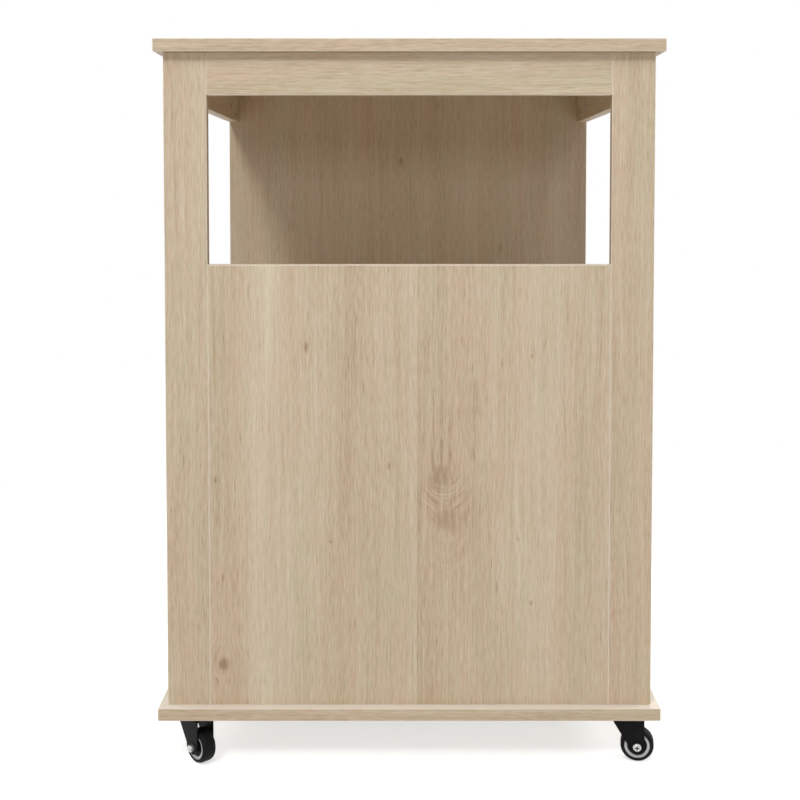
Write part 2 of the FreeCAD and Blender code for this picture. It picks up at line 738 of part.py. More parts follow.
def make_leaf(name, side, is_door_leaf):
    """Hinge leaf about a pin on the Z axis: the plate runs to -X, on the side of Y that is given.

    The knuckles lie in the gap between the door and its upright, as wide as they need.
    """
    body = new_body(name, kept=False)
    front = f"-{HALF_HINGE_GAP}"
    inner = f"{side} * ({HALF_HINGE_GAP} - leaf_thickness)"
    outer = f"{side} * {HALF_HINGE_GAP}"
    plate = sketch_on(body, "Z")
    draw_rectangle(plate, ("-leaf_width", inner), ("0", outer))
    pad(body, plate, "leaf_length", both_ways=True)
    knuckle = sketch_on(body, "Z")
    draw_circle(knuckle, ("0", "0"), "2 * knuckle_radius")
    pad(body, knuckle, "leaf_length", both_ways=True)
    windows = sketch_on(body, "Y")
    reach = "2 * knuckle_radius"
    if is_door_leaf:
        for sign in ("-", ""):
            draw_rectangle(windows, (front, f"{sign}(knuckle_middle / 2)"),
                           (reach, f"{sign}leaf_length"))
    else:
        half = "(knuckle_middle / 2 + knuckle_gap)"
        draw_rectangle(windows, (front, f"-{half}"), (reach, half))
    pocket(body, windows)
    bore = sketch_on(body, "Z")
    clearance = "hinge_pin_clearance" if is_door_leaf else "0"
    draw_circle(bore, ("0", "0"), f"2 * (hinge_pin_radius + {clearance})")
    pocket(body, bore)
    holes = sketch_on(body, "Y")
    for sign in "-+":
        draw_circle(holes, (f"{HINGE_SCREW_X} - {HINGE_X}", f"{sign}1 * hinge_screw_spread / 2"),
                    SCREW_HOLE)
    drilled = pocket(body, holes)
    countersink(body, drilled, lambda centre: same(centre.y, value_of(inner)))
    return body


def make_hinge_pin():
    """Pin through the knuckles, with a flat head at both ends."""
    end = "leaf_length / 2"
    tip = f"({end} + hinge_pin_head_height)"
    return turned_body("hinge_pin_master", [
        ("0", f"-{tip}"), ("hinge_pin_head_radius", f"-{tip}"), ("hinge_pin_head_radius", f"-{end}"),
        ("hinge_pin_radius", f"-{end}"), ("hinge_pin_radius", end), ("hinge_pin_head_radius", end),
        ("hinge_pin_head_radius", tip), ("0", tip)])


door_leaf = make_leaf("door_leaf_master", 1, is_door_leaf=True)
fixed_leaves = Group("hinge_fixed_leaves", make_leaf("fixed_leaf_master", -1, is_door_leaf=False))
hinge_pins = Group("hinge_pins", make_hinge_pin())
cabinet_screws = Group("small_screws_cabinet", small_screw)


def make_knob(name, spot):
    """Turned knob on the door's front face, with a blind hole for its screw."""
    foot, neck, cap = (f"knob_{piece} / 2" for piece in ("foot_diameter", "neck_diameter", "diameter"))
    screw = "(knob_screw_diameter + hole_clearance) / 2"
    blind = "knob_screw_bite + end_clearance"
    body = turned_body(name, [
        (screw, "0"), (foot, "0"), (foot, "knob_foot_length"), (neck, "knob_foot_length * 2"),
        (neck, "knob_length - knob_cap_length"), (cap, "knob_length - knob_cap_length"),
        (cap, "knob_length"), ("0", "knob_length"), ("0", blind), (screw, blind)], kept=True)
    doc.recompute()
    turned = body.Tip
    names = [
        f"Edge{number}" for number, edge in enumerate(turned.Shape.Edges, start=1)
        if isinstance(edge.Curve, Part.Circle) and same(edge.Curve.Radius, value_of(cap))]
    rounding = body.newObject("PartDesign::Fillet", f"{name}_fillet")
    rounding.Base = (turned, names)
    bind(rounding, "Radius", "knob_round")
    place(body, spot, point_along("+X"))


def make_door(side_name, side, upright, hinge_turn):
    """One door with its hinges, knob and catch plate. The side is "-" at the left end, "" at the right."""
    low_y, high_y = (
        (f"-{DOOR_END}", "-door_gap / 2") if side == "-" else ("door_gap / 2", DOOR_END))
    door = Board(f"door_{side_name}", (INNER_FRONT, low_y, DOOR_BOTTOM), (FRONT, high_y, DOOR_TOP))
    outward = "-Y" if side == "-" else "+Y"
    pilot_depth = "small_screw_length - leaf_thickness + end_clearance"
    door_leaves = Group(f"hinge_door_leaves_{side_name}", door_leaf)
    door_screws = Group(f"small_screws_{side_name}", small_screw)
    turned = FreeCAD.Rotation(Vector(1, 0, 0), hinge_turn)
    for level in HINGE_LEVELS:
        spot = (HINGE_X, f"{side}{HINGE_Y}", level)
        for group in (fixed_leaves, hinge_pins, door_leaves):
            group.add(spot, turned)
        screws = [{"X": HINGE_SCREW_X, "Z": z} for z in screw_levels(level)]
        door.drill(outward, screws, SCREW_HOLE, pilot_depth)
        upright.drill(opposite(outward), screws, SCREW_HOLE, pilot_depth)
        for screw in screws:
            door_face = f"{side}({DOOR_END} + leaf_thickness)"
            fixed_face = f"{side}({INNER_END} - leaf_thickness)"
            door_screws.add(spot_on("+Y", door_face, screw), point_along(opposite(outward)))
            cabinet_screws.add(spot_on("+Y", fixed_face, screw), point_along(outward))
    knob_spot = {"Y": f"{side}(door_gap / 2 + knob_edge_inset)", "Z": KNOB_LEVEL}
    door.drill("-X", [knob_spot], "knob_screw_diameter + hole_clearance", "board")
    make_knob(f"knob_{side_name}", spot_on("+X", FRONT, knob_spot))
    head = "knob_screw_head_diameter / 2"
    shank = "knob_screw_diameter / 2"
    screw = turned_body(f"knob_screw_{side_name}", [
        ("0", "-knob_screw_head_height"), ("knob_screw_crown_diameter / 2", "-knob_screw_head_height"),
        (head, "-knob_screw_head_height / 2"), (head, "0"), (shank, "0"),
        (shank, "board + knob_screw_bite"), ("0", "board + knob_screw_bite")], kept=True)
    place(screw, spot_on("+X", INNER_FRONT, knob_spot), point_along("+X"))
    make_catch_plate(side_name, side, door, door_screws)
    door_leaves.close()
    door_screws.close()


def make_catch_plate(side_name, side, door, door_screws):
    """Steel plate on the door's inner face that the catch pulls on."""
    centre = {"Y": f"{side}(door_gap / 2 + catch_plate_inset)", "Z": CATCH_PLATE_LEVEL}
    body = new_body(f"catch_plate_{side_name}")
    outline = sketch_on(body, "Z")
    half_height = "catch_plate_width / 2"
    half_length = "catch_plate_length / 2"
    draw_rectangle(outline, (f"-{half_height}", f"-{half_length}"), (half_height, half_length))
    plate = pad(body, outline, "catch_plate_thickness")
    round_edges(body, plate, "catch_plate_corner", lambda _, way: same(abs(way.z), 1))
    hole = sketch_on(body, "Z")
    draw_circle(hole, ("0", "0"), SCREW_HOLE)
    drilled = pocket(body, hole)
    countersink(body, drilled, lambda centre: same(centre.z, sheet.catch_plate_thickness))
    place(body, spot_on("+X", INNER_FRONT, centre), point_along("-X"))
    door.drill("-X", [centre], SCREW_HOLE, "small_screw_length - catch_plate_thickness + end_clearance")
    door_screws.add(spot_on("+X", f"{INNER_FRONT} - catch_plate_thickness", centre), point_along("+X"))


def make_catch():
    """Magnetic catch screwed up to the niche shelf by its two ears, its magnets facing the doors."""
    body = new_body("magnetic_catch")
    block_end = "(door_gap / 2 + catch_plate_inset + catch_magnet_width / 2 + catch_wall)"
    ear_end = f"({block_end} + catch_ear_length)"
    ear_under = "(catch_height - catch_ear_thickness)"
    outline = sketch_on(body, "Z")
    draw_rectangle(outline, ("0", f"-{block_end}"), ("catch_depth", block_end))
    block = pad(body, outline, "catch_height")
    round_edges(body, block, "catch_corner",
                lambda middle, way: same(abs(way.z), 1) and same(middle.x, 0))
    ears = sketch_on(body, "Z", ear_under)
    draw_rectangle(ears, ("catch_corner", f"-{ear_end}"), ("catch_depth", ear_end))
    pad(body, ears, "catch_ear_thickness")
    magnets = sketch_on(body, "X", "catch_depth")
    low, high = (f"catch_height / 2 {sign} catch_magnet_height / 2" for sign in "-+")
    for sign in ("-", ""):
        middle = f"{sign}(door_gap / 2 + catch_plate_inset)"
        draw_rectangle(magnets, (f"{middle} - catch_magnet_width / 2", low),
                       (f"{middle} + catch_magnet_width / 2", high))
    pocket(body, magnets, "catch_magnet_recess")
    back = f"({INNER_FRONT} - catch_plate_thickness - catch_gap - catch_depth)"
    hole_x = "(catch_corner / 2 + catch_depth / 2)"
    hole_ends = [f"{sign}({block_end} + catch_ear_length / 2)" for sign in ("-", "")]
    holes = sketch_on(body, "Z")
    for hole_end in hole_ends:
        draw_circle(holes, (hole_x, hole_end), SCREW_HOLE)
    drilled = pocket(body, holes)
    countersink(body, drilled, lambda centre: same(centre.z, value_of(ear_under)))
    place(body, (back, "0", f"{SHELF_UNDER} - catch_height"))
    spots = [{"X": f"({back} + {hole_x})", "Y": hole_end} for hole_end in hole_ends]
    niche_shelf.drill("-Z", spots, SCREW_HOLE, "small_screw_length - catch_ear_thickness + end_clearance")
    for spot in spots:
        cabinet_screws.add(spot_on("+Z", f"{SHELF_UNDER} - catch_ear_thickness", spot), point_along("+Z"))


make_door("left", "-", front_stile, 0)
make_door("right", "", right_end, 180)
make_catch()
for group in (fixed_leaves, hinge_pins, cabinet_screws):
    group.close()


# ---------------------------------------------------------------- casters

PLATE_UNDER = f"({BASE_UNDER} - plate_thickness)"
DISH_FLOOR = f"({DISH_UNDER} + plate_thickness)"
DISH_FLOOR_INSIDE = "(dish_floor_radius - plate_thickness / 2)"
DISH_MOUTH = f"({DISH_FLOOR_INSIDE} + dish_depth - plate_thickness)"
LEG_INSIDE = "(wheel_width / 2 + wheel_side_gap)"
LEG_OUTSIDE = f"({LEG_INSIDE} + fork_thickness)"
BOSS_OUTSIDE = f"({LEG_OUTSIDE} + fork_boss_height)"


def make_kingpin():
    """Rivet that the fork turns on: it hangs from the dish's floor and holds the crown."""
    seat = f"({CROWN_UNDER} - swivel_gap)"
    bottom = f"({seat} - kingpin_head_height)"
    top = f"({DISH_FLOOR} + kingpin_head_height)"
    return turned_body("kingpin_master", [
        ("0", bottom), ("kingpin_head_radius - kingpin_head_bevel", bottom),
        ("kingpin_head_radius", f"{bottom} + kingpin_head_bevel"), ("kingpin_head_radius", seat),
        ("kingpin_radius", seat), ("kingpin_radius", DISH_FLOOR), ("kingpin_head_radius", DISH_FLOOR),
        ("kingpin_head_radius", top), ("0", top)])


def make_washer():
    """Flat plastic washer under the dish, for the fork's crown to turn against."""
    bore = "kingpin_radius + running_clearance"
    bottom = f"{DISH_UNDER} - washer_thickness"
    return turned_body("washer_master", [
        (bore, bottom), ("washer_radius", bottom), ("washer_radius", DISH_UNDER), (bore, DISH_UNDER)])


caster_screws = Group("caster_screws", plate_screw)
kingpins = Group("caster_kingpins", make_kingpin())
washers = Group("caster_washers", make_washer())


def make_caster_plate(name):
    """Square plate pressed down in the middle to a dish that the fork turns under."""
    body = new_body(name)
    half = "(plate_screw_spread / 2 + plate_margin)"
    square = sketch_on(body, "Z", PLATE_UNDER)
    draw_rectangle(square, (f"-{half}", f"-{half}"), (half, half))
    plate = pad(body, square, "plate_thickness")
    round_edges(body, plate, "plate_corner", lambda _, way: same(abs(way.z), 1))
    mouth = sketch_on(body, "Z", BASE_UNDER)
    draw_circle(mouth, ("0", "0"), f"2 * {DISH_MOUTH}")
    pocket(body, mouth, "plate_thickness")
    dish = sketch_on(body, "Y")
    draw_polygon(dish, [
        ("kingpin_radius", DISH_UNDER), ("dish_floor_radius", DISH_UNDER),
        (f"{DISH_MOUTH} + dish_wall", PLATE_UNDER), (f"{DISH_MOUTH} + dish_wall", BASE_UNDER),
        (DISH_MOUTH, BASE_UNDER), (DISH_FLOOR_INSIDE, DISH_FLOOR), ("kingpin_radius", DISH_FLOOR)])
    turn(body, dish, "V_Axis")
    holes = sketch_on(body, "Z", BASE_UNDER)
    for x in "-+":
        for y in "-+":
            draw_circle(holes, (f"{x}1 * plate_screw_spread / 2", f"{y}1 * plate_screw_spread / 2"),
                        "plate_screw_hole")
    pocket(body, holes, "plate_thickness")
    return body


def draw_leg(sketch):
    """Side view of the fork: flat crown, short skirt, raked front edge, round foot, upright back edge."""
    front_top = ("-fork_length / 2", CROWN_TOP)
    front_low = ("-fork_length / 2", f"{CROWN_TOP} - fork_skirt")
    back_top = ("fork_length / 2", CROWN_TOP)
    foot_front = ("trail - fork_foot_radius", "wheel_radius")
    foot_back = ("trail + fork_foot_radius", "wheel_radius")

    def line(start, end):
        points = [Vector(value_of(across), value_of(up)) for across, up in (start, end)]
        return sketch.addGeometry(Part.LineSegment(*points))

    crown = line(front_top, back_top)
    trailing = line(back_top, foot_back)
    foot_centre = Vector(value_of("trail"), value_of("wheel_radius"))
    foot_circle = Part.Circle(foot_centre, Vector(0, 0, 1), value_of("fork_foot_radius"))
    round_foot = sketch.addGeometry(Part.ArcOfCircle(foot_circle, math.pi, 2 * math.pi))
    raked = line(foot_front, front_low)
    upright = line(front_low, front_top)
    pin_point(sketch, crown, 1, front_top)
    pin_point(sketch, crown, 2, back_top)
    pin_point(sketch, upright, 1, front_low)
    pin_point(sketch, round_foot, 3, ("trail", "wheel_radius"))
    for first, second in ((crown, trailing), (raked, upright), (upright, crown)):
        sketch.addConstraint(Sketcher.Constraint("Coincident", first, 2, second, 1))
    sketch.addConstraint(Sketcher.Constraint("Tangent", trailing, 2, round_foot, 2))
    sketch.addConstraint(Sketcher.Constraint("Tangent", round_foot, 1, raked, 1))
    radius = sketch.addConstraint(
        Sketcher.Constraint("Radius", round_foot, value_of("fork_foot_radius")))
    bind(sketch, f"Constraints[{radius}]", "fork_foot_radius")


def make_fork(name):
    """Stamped fork: a crown with two legs bent down, bored for the kingpin and the axle."""
    body = new_body(name)
    profile = sketch_on(body, "Y")
    draw_leg(profile)
    pad(body, profile, f"2 * {LEG_OUTSIDE}", both_ways=True)
    boss = sketch_on(body, "Y")
    draw_circle(boss, ("trail", "wheel_radius"), "2 * fork_boss_radius")
    pad(body, boss, f"2 * {BOSS_OUTSIDE}", both_ways=True)
    channel = sketch_on(body, "X")
    draw_rectangle(channel, (f"-{LEG_INSIDE}", "0"), (LEG_INSIDE, CROWN_UNDER))
    hollow = pocket(body, channel)
    outside = round_edges(
        body, hollow, "fork_bend",
        lambda middle, way: same(abs(way.x), 1) and same(middle.z, value_of(CROWN_TOP))
        and same(abs(middle.y), value_of(LEG_OUTSIDE)))
    round_edges(
        body, outside, "fork_bend - fork_thickness",
        lambda middle, way: same(abs(way.x), 1) and same(middle.z, value_of(CROWN_UNDER))
        and same(abs(middle.y), value_of(LEG_INSIDE)))
    king = sketch_on(body, "Z", CROWN_TOP)
    draw_circle(king, ("0", "0"), "2 * (kingpin_radius + running_clearance)")
    pocket(body, king, "fork_thickness")
    axle = sketch_on(body, "Y")
    draw_circle(axle, ("trail", "wheel_radius"), "axle_diameter + hole_clearance")
    pocket(body, axle)
    return body


def make_axle_bolt():
    """Axle bolt along its own Z through the wheel's centre, head down, with a cross recess."""
    shank = "axle_diameter / 2"
    head = "axle_head_diameter / 2"
    seat = f"-{BOSS_OUTSIDE}"
    tip = f"({BOSS_OUTSIDE} + nut_height + axle_thread_end)"
    body = turned_body("axle_bolt_master", [
        ("0", f"{seat} - axle_head_height"),
        ("axle_head_flat_diameter / 2", f"{seat} - axle_head_height"),
        ("axle_head_shoulder_diameter / 2", f"{seat} - axle_head_shoulder_height"),
        (head, f"{seat} - axle_head_rim"), (head, seat), (shank, seat),
        (shank, f"{tip} - axle_tip_bevel"), (f"{shank} - axle_tip_bevel", tip), ("0", tip)])
    across, down = "axle_cross_length", "axle_cross_width"
    for length, width in ((across, down), (down, across)):
        slot = sketch_on(body, "Z", f"{seat} - axle_head_height")
        draw_rectangle(slot, (f"-{length} / 2", f"-{width} / 2"), (f"{length} / 2", f"{width} / 2"))
        pocket(body, slot, "axle_cross_depth", along_normal=True)
    return body


def make_axle_nut():
    """Hexagon nut on the end of the axle bolt."""
    body = new_body("axle_nut_master", kept=False)
    outline = sketch_on(body, "Z", BOSS_OUTSIDE)
    corner = "nut_width / 2 / cos(30)"
    draw_polygon(outline, [
        (f"{corner} * cos({angle})", f"{corner} * sin({angle})") for angle in range(0, 360, 60)])
    pad(body, outline, "nut_height")
    bore = sketch_on(body, "Z")
    draw_circle(bore, ("0", "0"), "axle_diameter + hole_clearance")
    pocket(body, bore)
    return body


def mirrored_section(half_section):
    """Complete a wheel's half section, given from its middle plane outwards, on the other side."""
    return half_section + [(radius, f"-({level})") for radius, level in reversed(half_section)]


def make_tyre(name):
    side = "wheel_width / 2"
    return turned_body(name, mirrored_section([
        ("wheel_radius", "tread_half_width"), ("wheel_radius - shoulder_drop", "shoulder_half_width"),
        ("wheel_radius - side_drop", side), ("rim_outer_radius", side)]), kept=True)


def make_rim(name):
    side = "(wheel_width / 2 - rim_recess)"
    return turned_body(name, mirrored_section([
        ("rim_outer_radius", side), ("rim_inner_radius + rim_bevel", side),
        ("rim_inner_radius", f"{side} - rim_bevel")]), kept=True)


def make_hub(name):
    web = "(wheel_width / 2 - web_recess)"
    boss = f"({LEG_INSIDE} - hub_side_gap)"
    bore = "axle_diameter / 2 + running_clearance"
    return turned_body(name, mirrored_section([
        ("rim_inner_radius", web), ("hub_boss_radius + hub_boss_flare", web), ("hub_boss_radius", boss),
        (bore, boss)]), kept=True)


axle_bolt = make_axle_bolt()
axle_nut = make_axle_nut()


def make_caster(corner, x, y, bolt_turn):
    """One caster: its plate is square to the cart, and all that turns with it is set to its yaw."""
    yaw = f"{corner}_yaw"
    plate = make_caster_plate(f"caster_plate_{corner}")
    place(plate, (x, y, "0"))
    upright = FreeCAD.Rotation(Vector(0, 0, 1), 0)
    for group in (kingpins, washers):
        group.add((x, y, "0"), upright)
    for x_sign in "-+":
        for y_sign in "-+":
            spot = {
                "X": f"({x} {x_sign} plate_screw_spread / 2)",
                "Y": f"({y} {y_sign} plate_screw_spread / 2)"}
            caster_screws.add(spot_on("+Z", PLATE_UNDER, spot), upright)
            base_board.drill("-Z", [spot], "plate_screw_diameter + hole_clearance",
                             "plate_screw_length - plate_thickness + end_clearance")
    fork = make_fork(f"caster_fork_{corner}")
    place(fork, (x, y, "0"))
    bind(fork, "Placement.Rotation.Angle", yaw)
    wheel_spot = (f"{x} + trail * cos({yaw})", f"{y} + trail * sin({yaw})", "wheel_radius")
    axle = Group(f"caster_axle_{corner}", axle_bolt, axle_nut)
    axle.add(wheel_spot, lying_along(corner, bolt_turn))
    axle.close()
    for make, piece in ((make_tyre, "tyre"), (make_rim, "rim"), (make_hub, "hub")):
        place(make(f"caster_{piece}_{corner}"), wheel_spot, lying_along(corner, 0))


def lying_along(corner, bolt_turn):
    """Lay a piece's Z axis level, square to the way the caster trails."""
    heading = FreeCAD.Rotation(Vector(0, 0, 1), float(sheet.get(f"{corner}_yaw")) + bolt_turn)
    return heading.multiply(FreeCAD.Rotation(Vector(1, 0, 0), -90))


CASTER_FRONT = f"({BASE_SIDE} - front_caster_inset)"
CASTER_BACK = f"-({BASE_SIDE} - back_caster_inset)"
CASTER_END = f"({BASE_END} - end_caster_inset)"
make_caster("front_left", CASTER_FRONT, f"-{CASTER_END}", 0)
make_caster("front_right", CASTER_FRONT, CASTER_END, 180)
make_caster("back_left", CASTER_BACK, f"-{CASTER_END}", 180)
make_caster("back_right", CASTER_BACK, CASTER_END, 0)
for group in (kingpins, washers, caster_screws):
    group.close()

doc.recompute()


# ---------------------------------------------------------------- checks and files

def check_model():
    """Every object has to be sound, and every cut has to take something away."""
    for item in doc.Objects:
        if "Invalid" in item.State or "Error" in item.State:
            raise RuntimeError(f"{item.Label}: {item.State}")
        if item.TypeId == "PartDesign::Pocket":
            removed = item.BaseFeature.Shape.Volume - item.Shape.Volume
            if removed < SMALLEST_CUT:
                raise RuntimeError(f"{item.Label} cuts nothing")
    for part in PARTS:
        shape = part.Shape
        if shape.isNull() or not shape.isValid() or shape.Volume <= 0:
            raise RuntimeError(f"{part.Label} has no sound shape")


check_model()
os.makedirs("parts", exist_ok=True)
for part in PARTS:
    part.Shape.exportStep(os.path.join("parts", f"{part.Label}.step"))
print(f"{len(PARTS)} sub-parts, {sum(len(part.Shape.Solids) for part in PARTS)} solids")
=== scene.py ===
"""Microwave cart: board print, metal, rubber and plastic finishes, a plain studio and the camera.

Metres, +Z up, the floor at Z = 0. The doors and knobs face +X, and the photographed end faces -Y.
"""

import json
import math

import bpy
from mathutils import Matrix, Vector

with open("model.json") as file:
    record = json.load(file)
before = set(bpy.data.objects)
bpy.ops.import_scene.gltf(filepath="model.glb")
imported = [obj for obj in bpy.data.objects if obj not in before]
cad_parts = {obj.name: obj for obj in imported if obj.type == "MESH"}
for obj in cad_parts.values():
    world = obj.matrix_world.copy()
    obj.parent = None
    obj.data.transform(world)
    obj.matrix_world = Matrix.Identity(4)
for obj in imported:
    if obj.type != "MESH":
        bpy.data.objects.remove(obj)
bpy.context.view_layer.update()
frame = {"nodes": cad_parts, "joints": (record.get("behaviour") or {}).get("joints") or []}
nodes = frame["nodes"]

X_AXIS = (1.0, 0.0, 0.0)
Y_AXIS = (0.0, 1.0, 0.0)
Z_AXIS = (0.0, 0.0, 1.0)
CORNERS = ("front_left", "front_right", "back_left", "back_right")


def srgb(red, green, blue):
    """Linear colour of a colour given as it looks on a screen, 0 to 255."""
    def linear(level):
        share = level / 255
        return share / 12.92 if share <= 0.04045 else ((share + 0.055) / 1.055) ** 2.4
    return (linear(red), linear(green), linear(blue), 1.0)


# ------------------------------------------------------------------ wiring of shader nodes

class Wiring:
    """Adds nodes to a tree. An input given as a socket is linked, and any other is set."""

    def __init__(self, tree):
        self.tree = tree

    def connect(self, value, socket):
        if isinstance(value, bpy.types.NodeSocket):
            self.tree.links.new(value, socket)
        else:
            socket.default_value = value

    def add(self, kind, inputs=None, **settings):
        node = self.tree.nodes.new(kind)
        for name, value in settings.items():
            setattr(node, name, value)
        for name, value in (inputs or {}).items():
            self.connect(value, node.inputs[name])
        return node

    def math(self, operation, *values):
        return self.add("ShaderNodeMath", dict(enumerate(values)), operation=operation).outputs[0]

    def plus(self, first, second):
        return self.math("ADD", first, second)

    def minus(self, first, second):
        return self.math("SUBTRACT", first, second)

    def times(self, first, second):
        return self.math("MULTIPLY", first, second)

    def over(self, first, second):
        return self.math("DIVIDE", first, second)

    def larger(self, first, second):
        return self.math("MAXIMUM", first, second)

    def around(self, value, gain):
        """Swing of a value from 0 to 1 about its middle."""
        return self.times(self.minus(value, 0.5), gain)

    def vector(self, operation, *values):
        node = self.add("ShaderNodeVectorMath", dict(enumerate(values)), operation=operation)
        return node.outputs["Value" if operation in ("DOT_PRODUCT", "LENGTH") else "Vector"]

    def joined(self, x, y, z):
        return self.add("ShaderNodeCombineXYZ", {0: x, 1: y, 2: z}).outputs[0]

    def noise(self, place, detail=2.0, roughness=0.5):
        """Noise from 0 to 1 at unit scale, so the place carries the scale."""
        node = self.add("ShaderNodeTexNoise", {
            "Vector": place, "Scale": 1.0, "Detail": detail, "Roughness": roughness})
        return node.outputs["Fac"]

    def stretched_noise(self, across, along, across_scale, along_scale, depth=0.0, detail=2.0):
        """Noise with its own scale across and along, at a depth that picks another stretch of it."""
        place = self.joined(self.times(across, across_scale), self.times(along, along_scale), depth)
        return self.noise(place, detail)

    def spread(self, value, low, high, new_low=0.0, new_high=1.0, smooth=True):
        """Map a value from one range to another, held at its ends."""
        node = self.add("ShaderNodeMapRange", {
            "Value": value, "From Min": low, "From Max": high, "To Min": new_low, "To Max": new_high},
            interpolation_type="SMOOTHSTEP" if smooth else "LINEAR", clamp=True)
        return node.outputs["Result"]

    def mixed(self, share, first, second):
        node = self.add("ShaderNodeMix", {"Factor": share}, data_type="RGBA")
        for name, value in (("A", first), ("B", second)):
            self.connect(value, next(s for s in node.inputs if s.name == name and s.type == "RGBA"))
        return next(socket for socket in node.outputs if socket.type == "RGBA")


KINDS = {"value": "NodeSocketFloat", "vector": "NodeSocketVector", "colour": "NodeSocketColor"}


def new_effect(name, inputs, outputs):
    """A shader node group with named sockets, given as {name: kind}."""
    tree = bpy.data.node_groups.new(name, "ShaderNodeTree")
    for direction, sockets in (("INPUT", inputs), ("OUTPUT", outputs)):
        for socket, kind in sockets.items():
            tree.interface.new_socket(socket, in_out=direction, socket_type=KINDS[kind])
    wiring = Wiring(tree)
    given = wiring.add("NodeGroupInput").outputs
    result = wiring.add("NodeGroupOutput").inputs
    return tree, wiring, given, result


def use(wiring, tree, inputs):
    """Place an effect in a material, with its own values."""
    return wiring.add("ShaderNodeGroup", inputs, node_tree=tree).outputs


# ------------------------------------------------------------------ how the print lies on a board

FACING_SQUARE = 0.7             # least share of a normal along an axis that counts as facing it
EASED_NORMALS = (0.999, 0.9)    # normals between a flat side's and that of the eased corner line


def make_board_lay():
    """Lays the print on a board: along the grain on its faces, and along every banded edge."""
    tree, w, given, result = new_effect(
        "board_lay",
        {"Place": "vector", "Normal": "vector", "Thickness": "vector", "Grain": "vector"},
        {"Across": "value", "Along": "value", "On Face": "value", "Eased": "value"})
    cross = w.vector("CROSS_PRODUCT", given["Thickness"], given["Grain"])
    facing, ending, siding = (
        w.math("ABSOLUTE", w.vector("DOT_PRODUCT", given["Normal"], axis))
        for axis in (given["Thickness"], given["Grain"], cross))
    deep, long, wide = (
        w.vector("DOT_PRODUCT", given["Place"], axis)
        for axis in (given["Thickness"], given["Grain"], cross))
    on_face = w.math("GREATER_THAN", facing, FACING_SQUARE)
    on_end = w.math("GREATER_THAN", ending, FACING_SQUARE)

    def chosen(share, off, on):
        return w.plus(w.times(share, on), w.times(w.minus(1.0, share), off))

    w.connect(chosen(on_face, deep, wide), result["Across"])
    w.connect(chosen(on_end, long, wide), result["Along"])
    w.connect(on_face, result["On Face"])
    flattest = w.larger(facing, w.larger(ending, siding))
    w.connect(w.spread(flattest, *EASED_NORMALS), result["Eased"])
    return tree


# ------------------------------------------------------------------ knots, the swirl and soft bands

KNOT_RAGGEDNESS = 0.7           # wander of the outline, in knot sizes
KNOT_HALO = (3.2, 0.2)          # distance in knot sizes where the halo starts and where it is full
KNOT_HEART_SHADE, KNOT_HALO_SHADE, KNOT_RING_SHADE = 0.80, 0.12, 0.5
KNOT_PARTING = -0.55            # how far the fibres are drawn aside, as a share of the way to the middle


def make_knot():
    """A knot in the print: fibres part round it, and rings and a dark heart show in it."""
    tree, w, given, result = new_effect(
        "knot",
        {"Across": "value", "Along": "value", "Middle Across": "value", "Middle Along": "value",
         "Half Width": "value", "Half Length": "value", "Darkness": "value", "Shade Before": "value"},
        {"Across": "value", "Shade": "value"})
    off_across = w.minus(given["Across"], given["Middle Across"])
    off_along = w.minus(given["Along"], given["Middle Along"])
    unit_across = w.over(off_across, given["Half Width"])
    unit_along = w.over(off_along, given["Half Length"])
    wander = w.stretched_noise(given["Across"], given["Along"], 90.0, 40.0)
    distance = w.vector("LENGTH", w.joined(unit_across, unit_along, 0.0))
    distance = w.plus(distance, w.around(wander, KNOT_RAGGEDNESS))
    heart = w.spread(distance, 1.0, 0.0)
    halo = w.spread(distance, *KNOT_HALO)
    rings = w.stretched_noise(distance, unit_along, 4.0, 0.5)
    ringed = w.times(w.times(w.minus(rings, 0.5), halo), KNOT_RING_SHADE)
    shade = w.plus(w.times(heart, KNOT_HEART_SHADE), w.times(halo, KNOT_HALO_SHADE))
    shade = w.times(w.plus(shade, ringed), given["Darkness"])
    w.connect(w.plus(given["Shade Before"], shade), result["Shade"])
    parted = w.times(w.times(off_across, halo), KNOT_PARTING)
    w.connect(w.plus(given["Across"], parted), result["Across"])
    return tree


SWIRL_WAVER = 0.022             # sideways wander of the figure's outlines
BOWL_ROUNDING = 0.0004          # square of the half width over which the rings' bowl is rounded
BOWL_RISE = 1.5                 # slope of the rings to either side
LINE_TURNS = 622.0              # radians per metre, which sets a dark line each 10 mm
LINE_START = 4.557              # radians, which sets the lines over the heart
COLUMN_START = (0.020, 0.032)   # from the swirl's middle, the lines begin between these

# Patches of the swirl: middle across and along, half width, half length and softness of the edge
RING_PATCH = (0.001, -0.004, 0.030, 0.034, 0.45)
TRAIL_PATCH = (0.003, -0.052, 0.026, 0.055, 0.55)
HEART_PATCH = (-0.006, 0.029, 0.013, 0.013, 0.45)
LOWER_HEART_PATCH = (0.003, -0.024, 0.018, 0.014, 0.55)
COLUMN_PATCH = (-0.005, 0.062, 0.017, 0.056, 0.55)
RING_SHADE, TRAIL_SHADE, HEART_SHADE, LOWER_HEART_SHADE, LINE_SHADE = 0.42, 0.17, 0.48, 0.38, 0.50


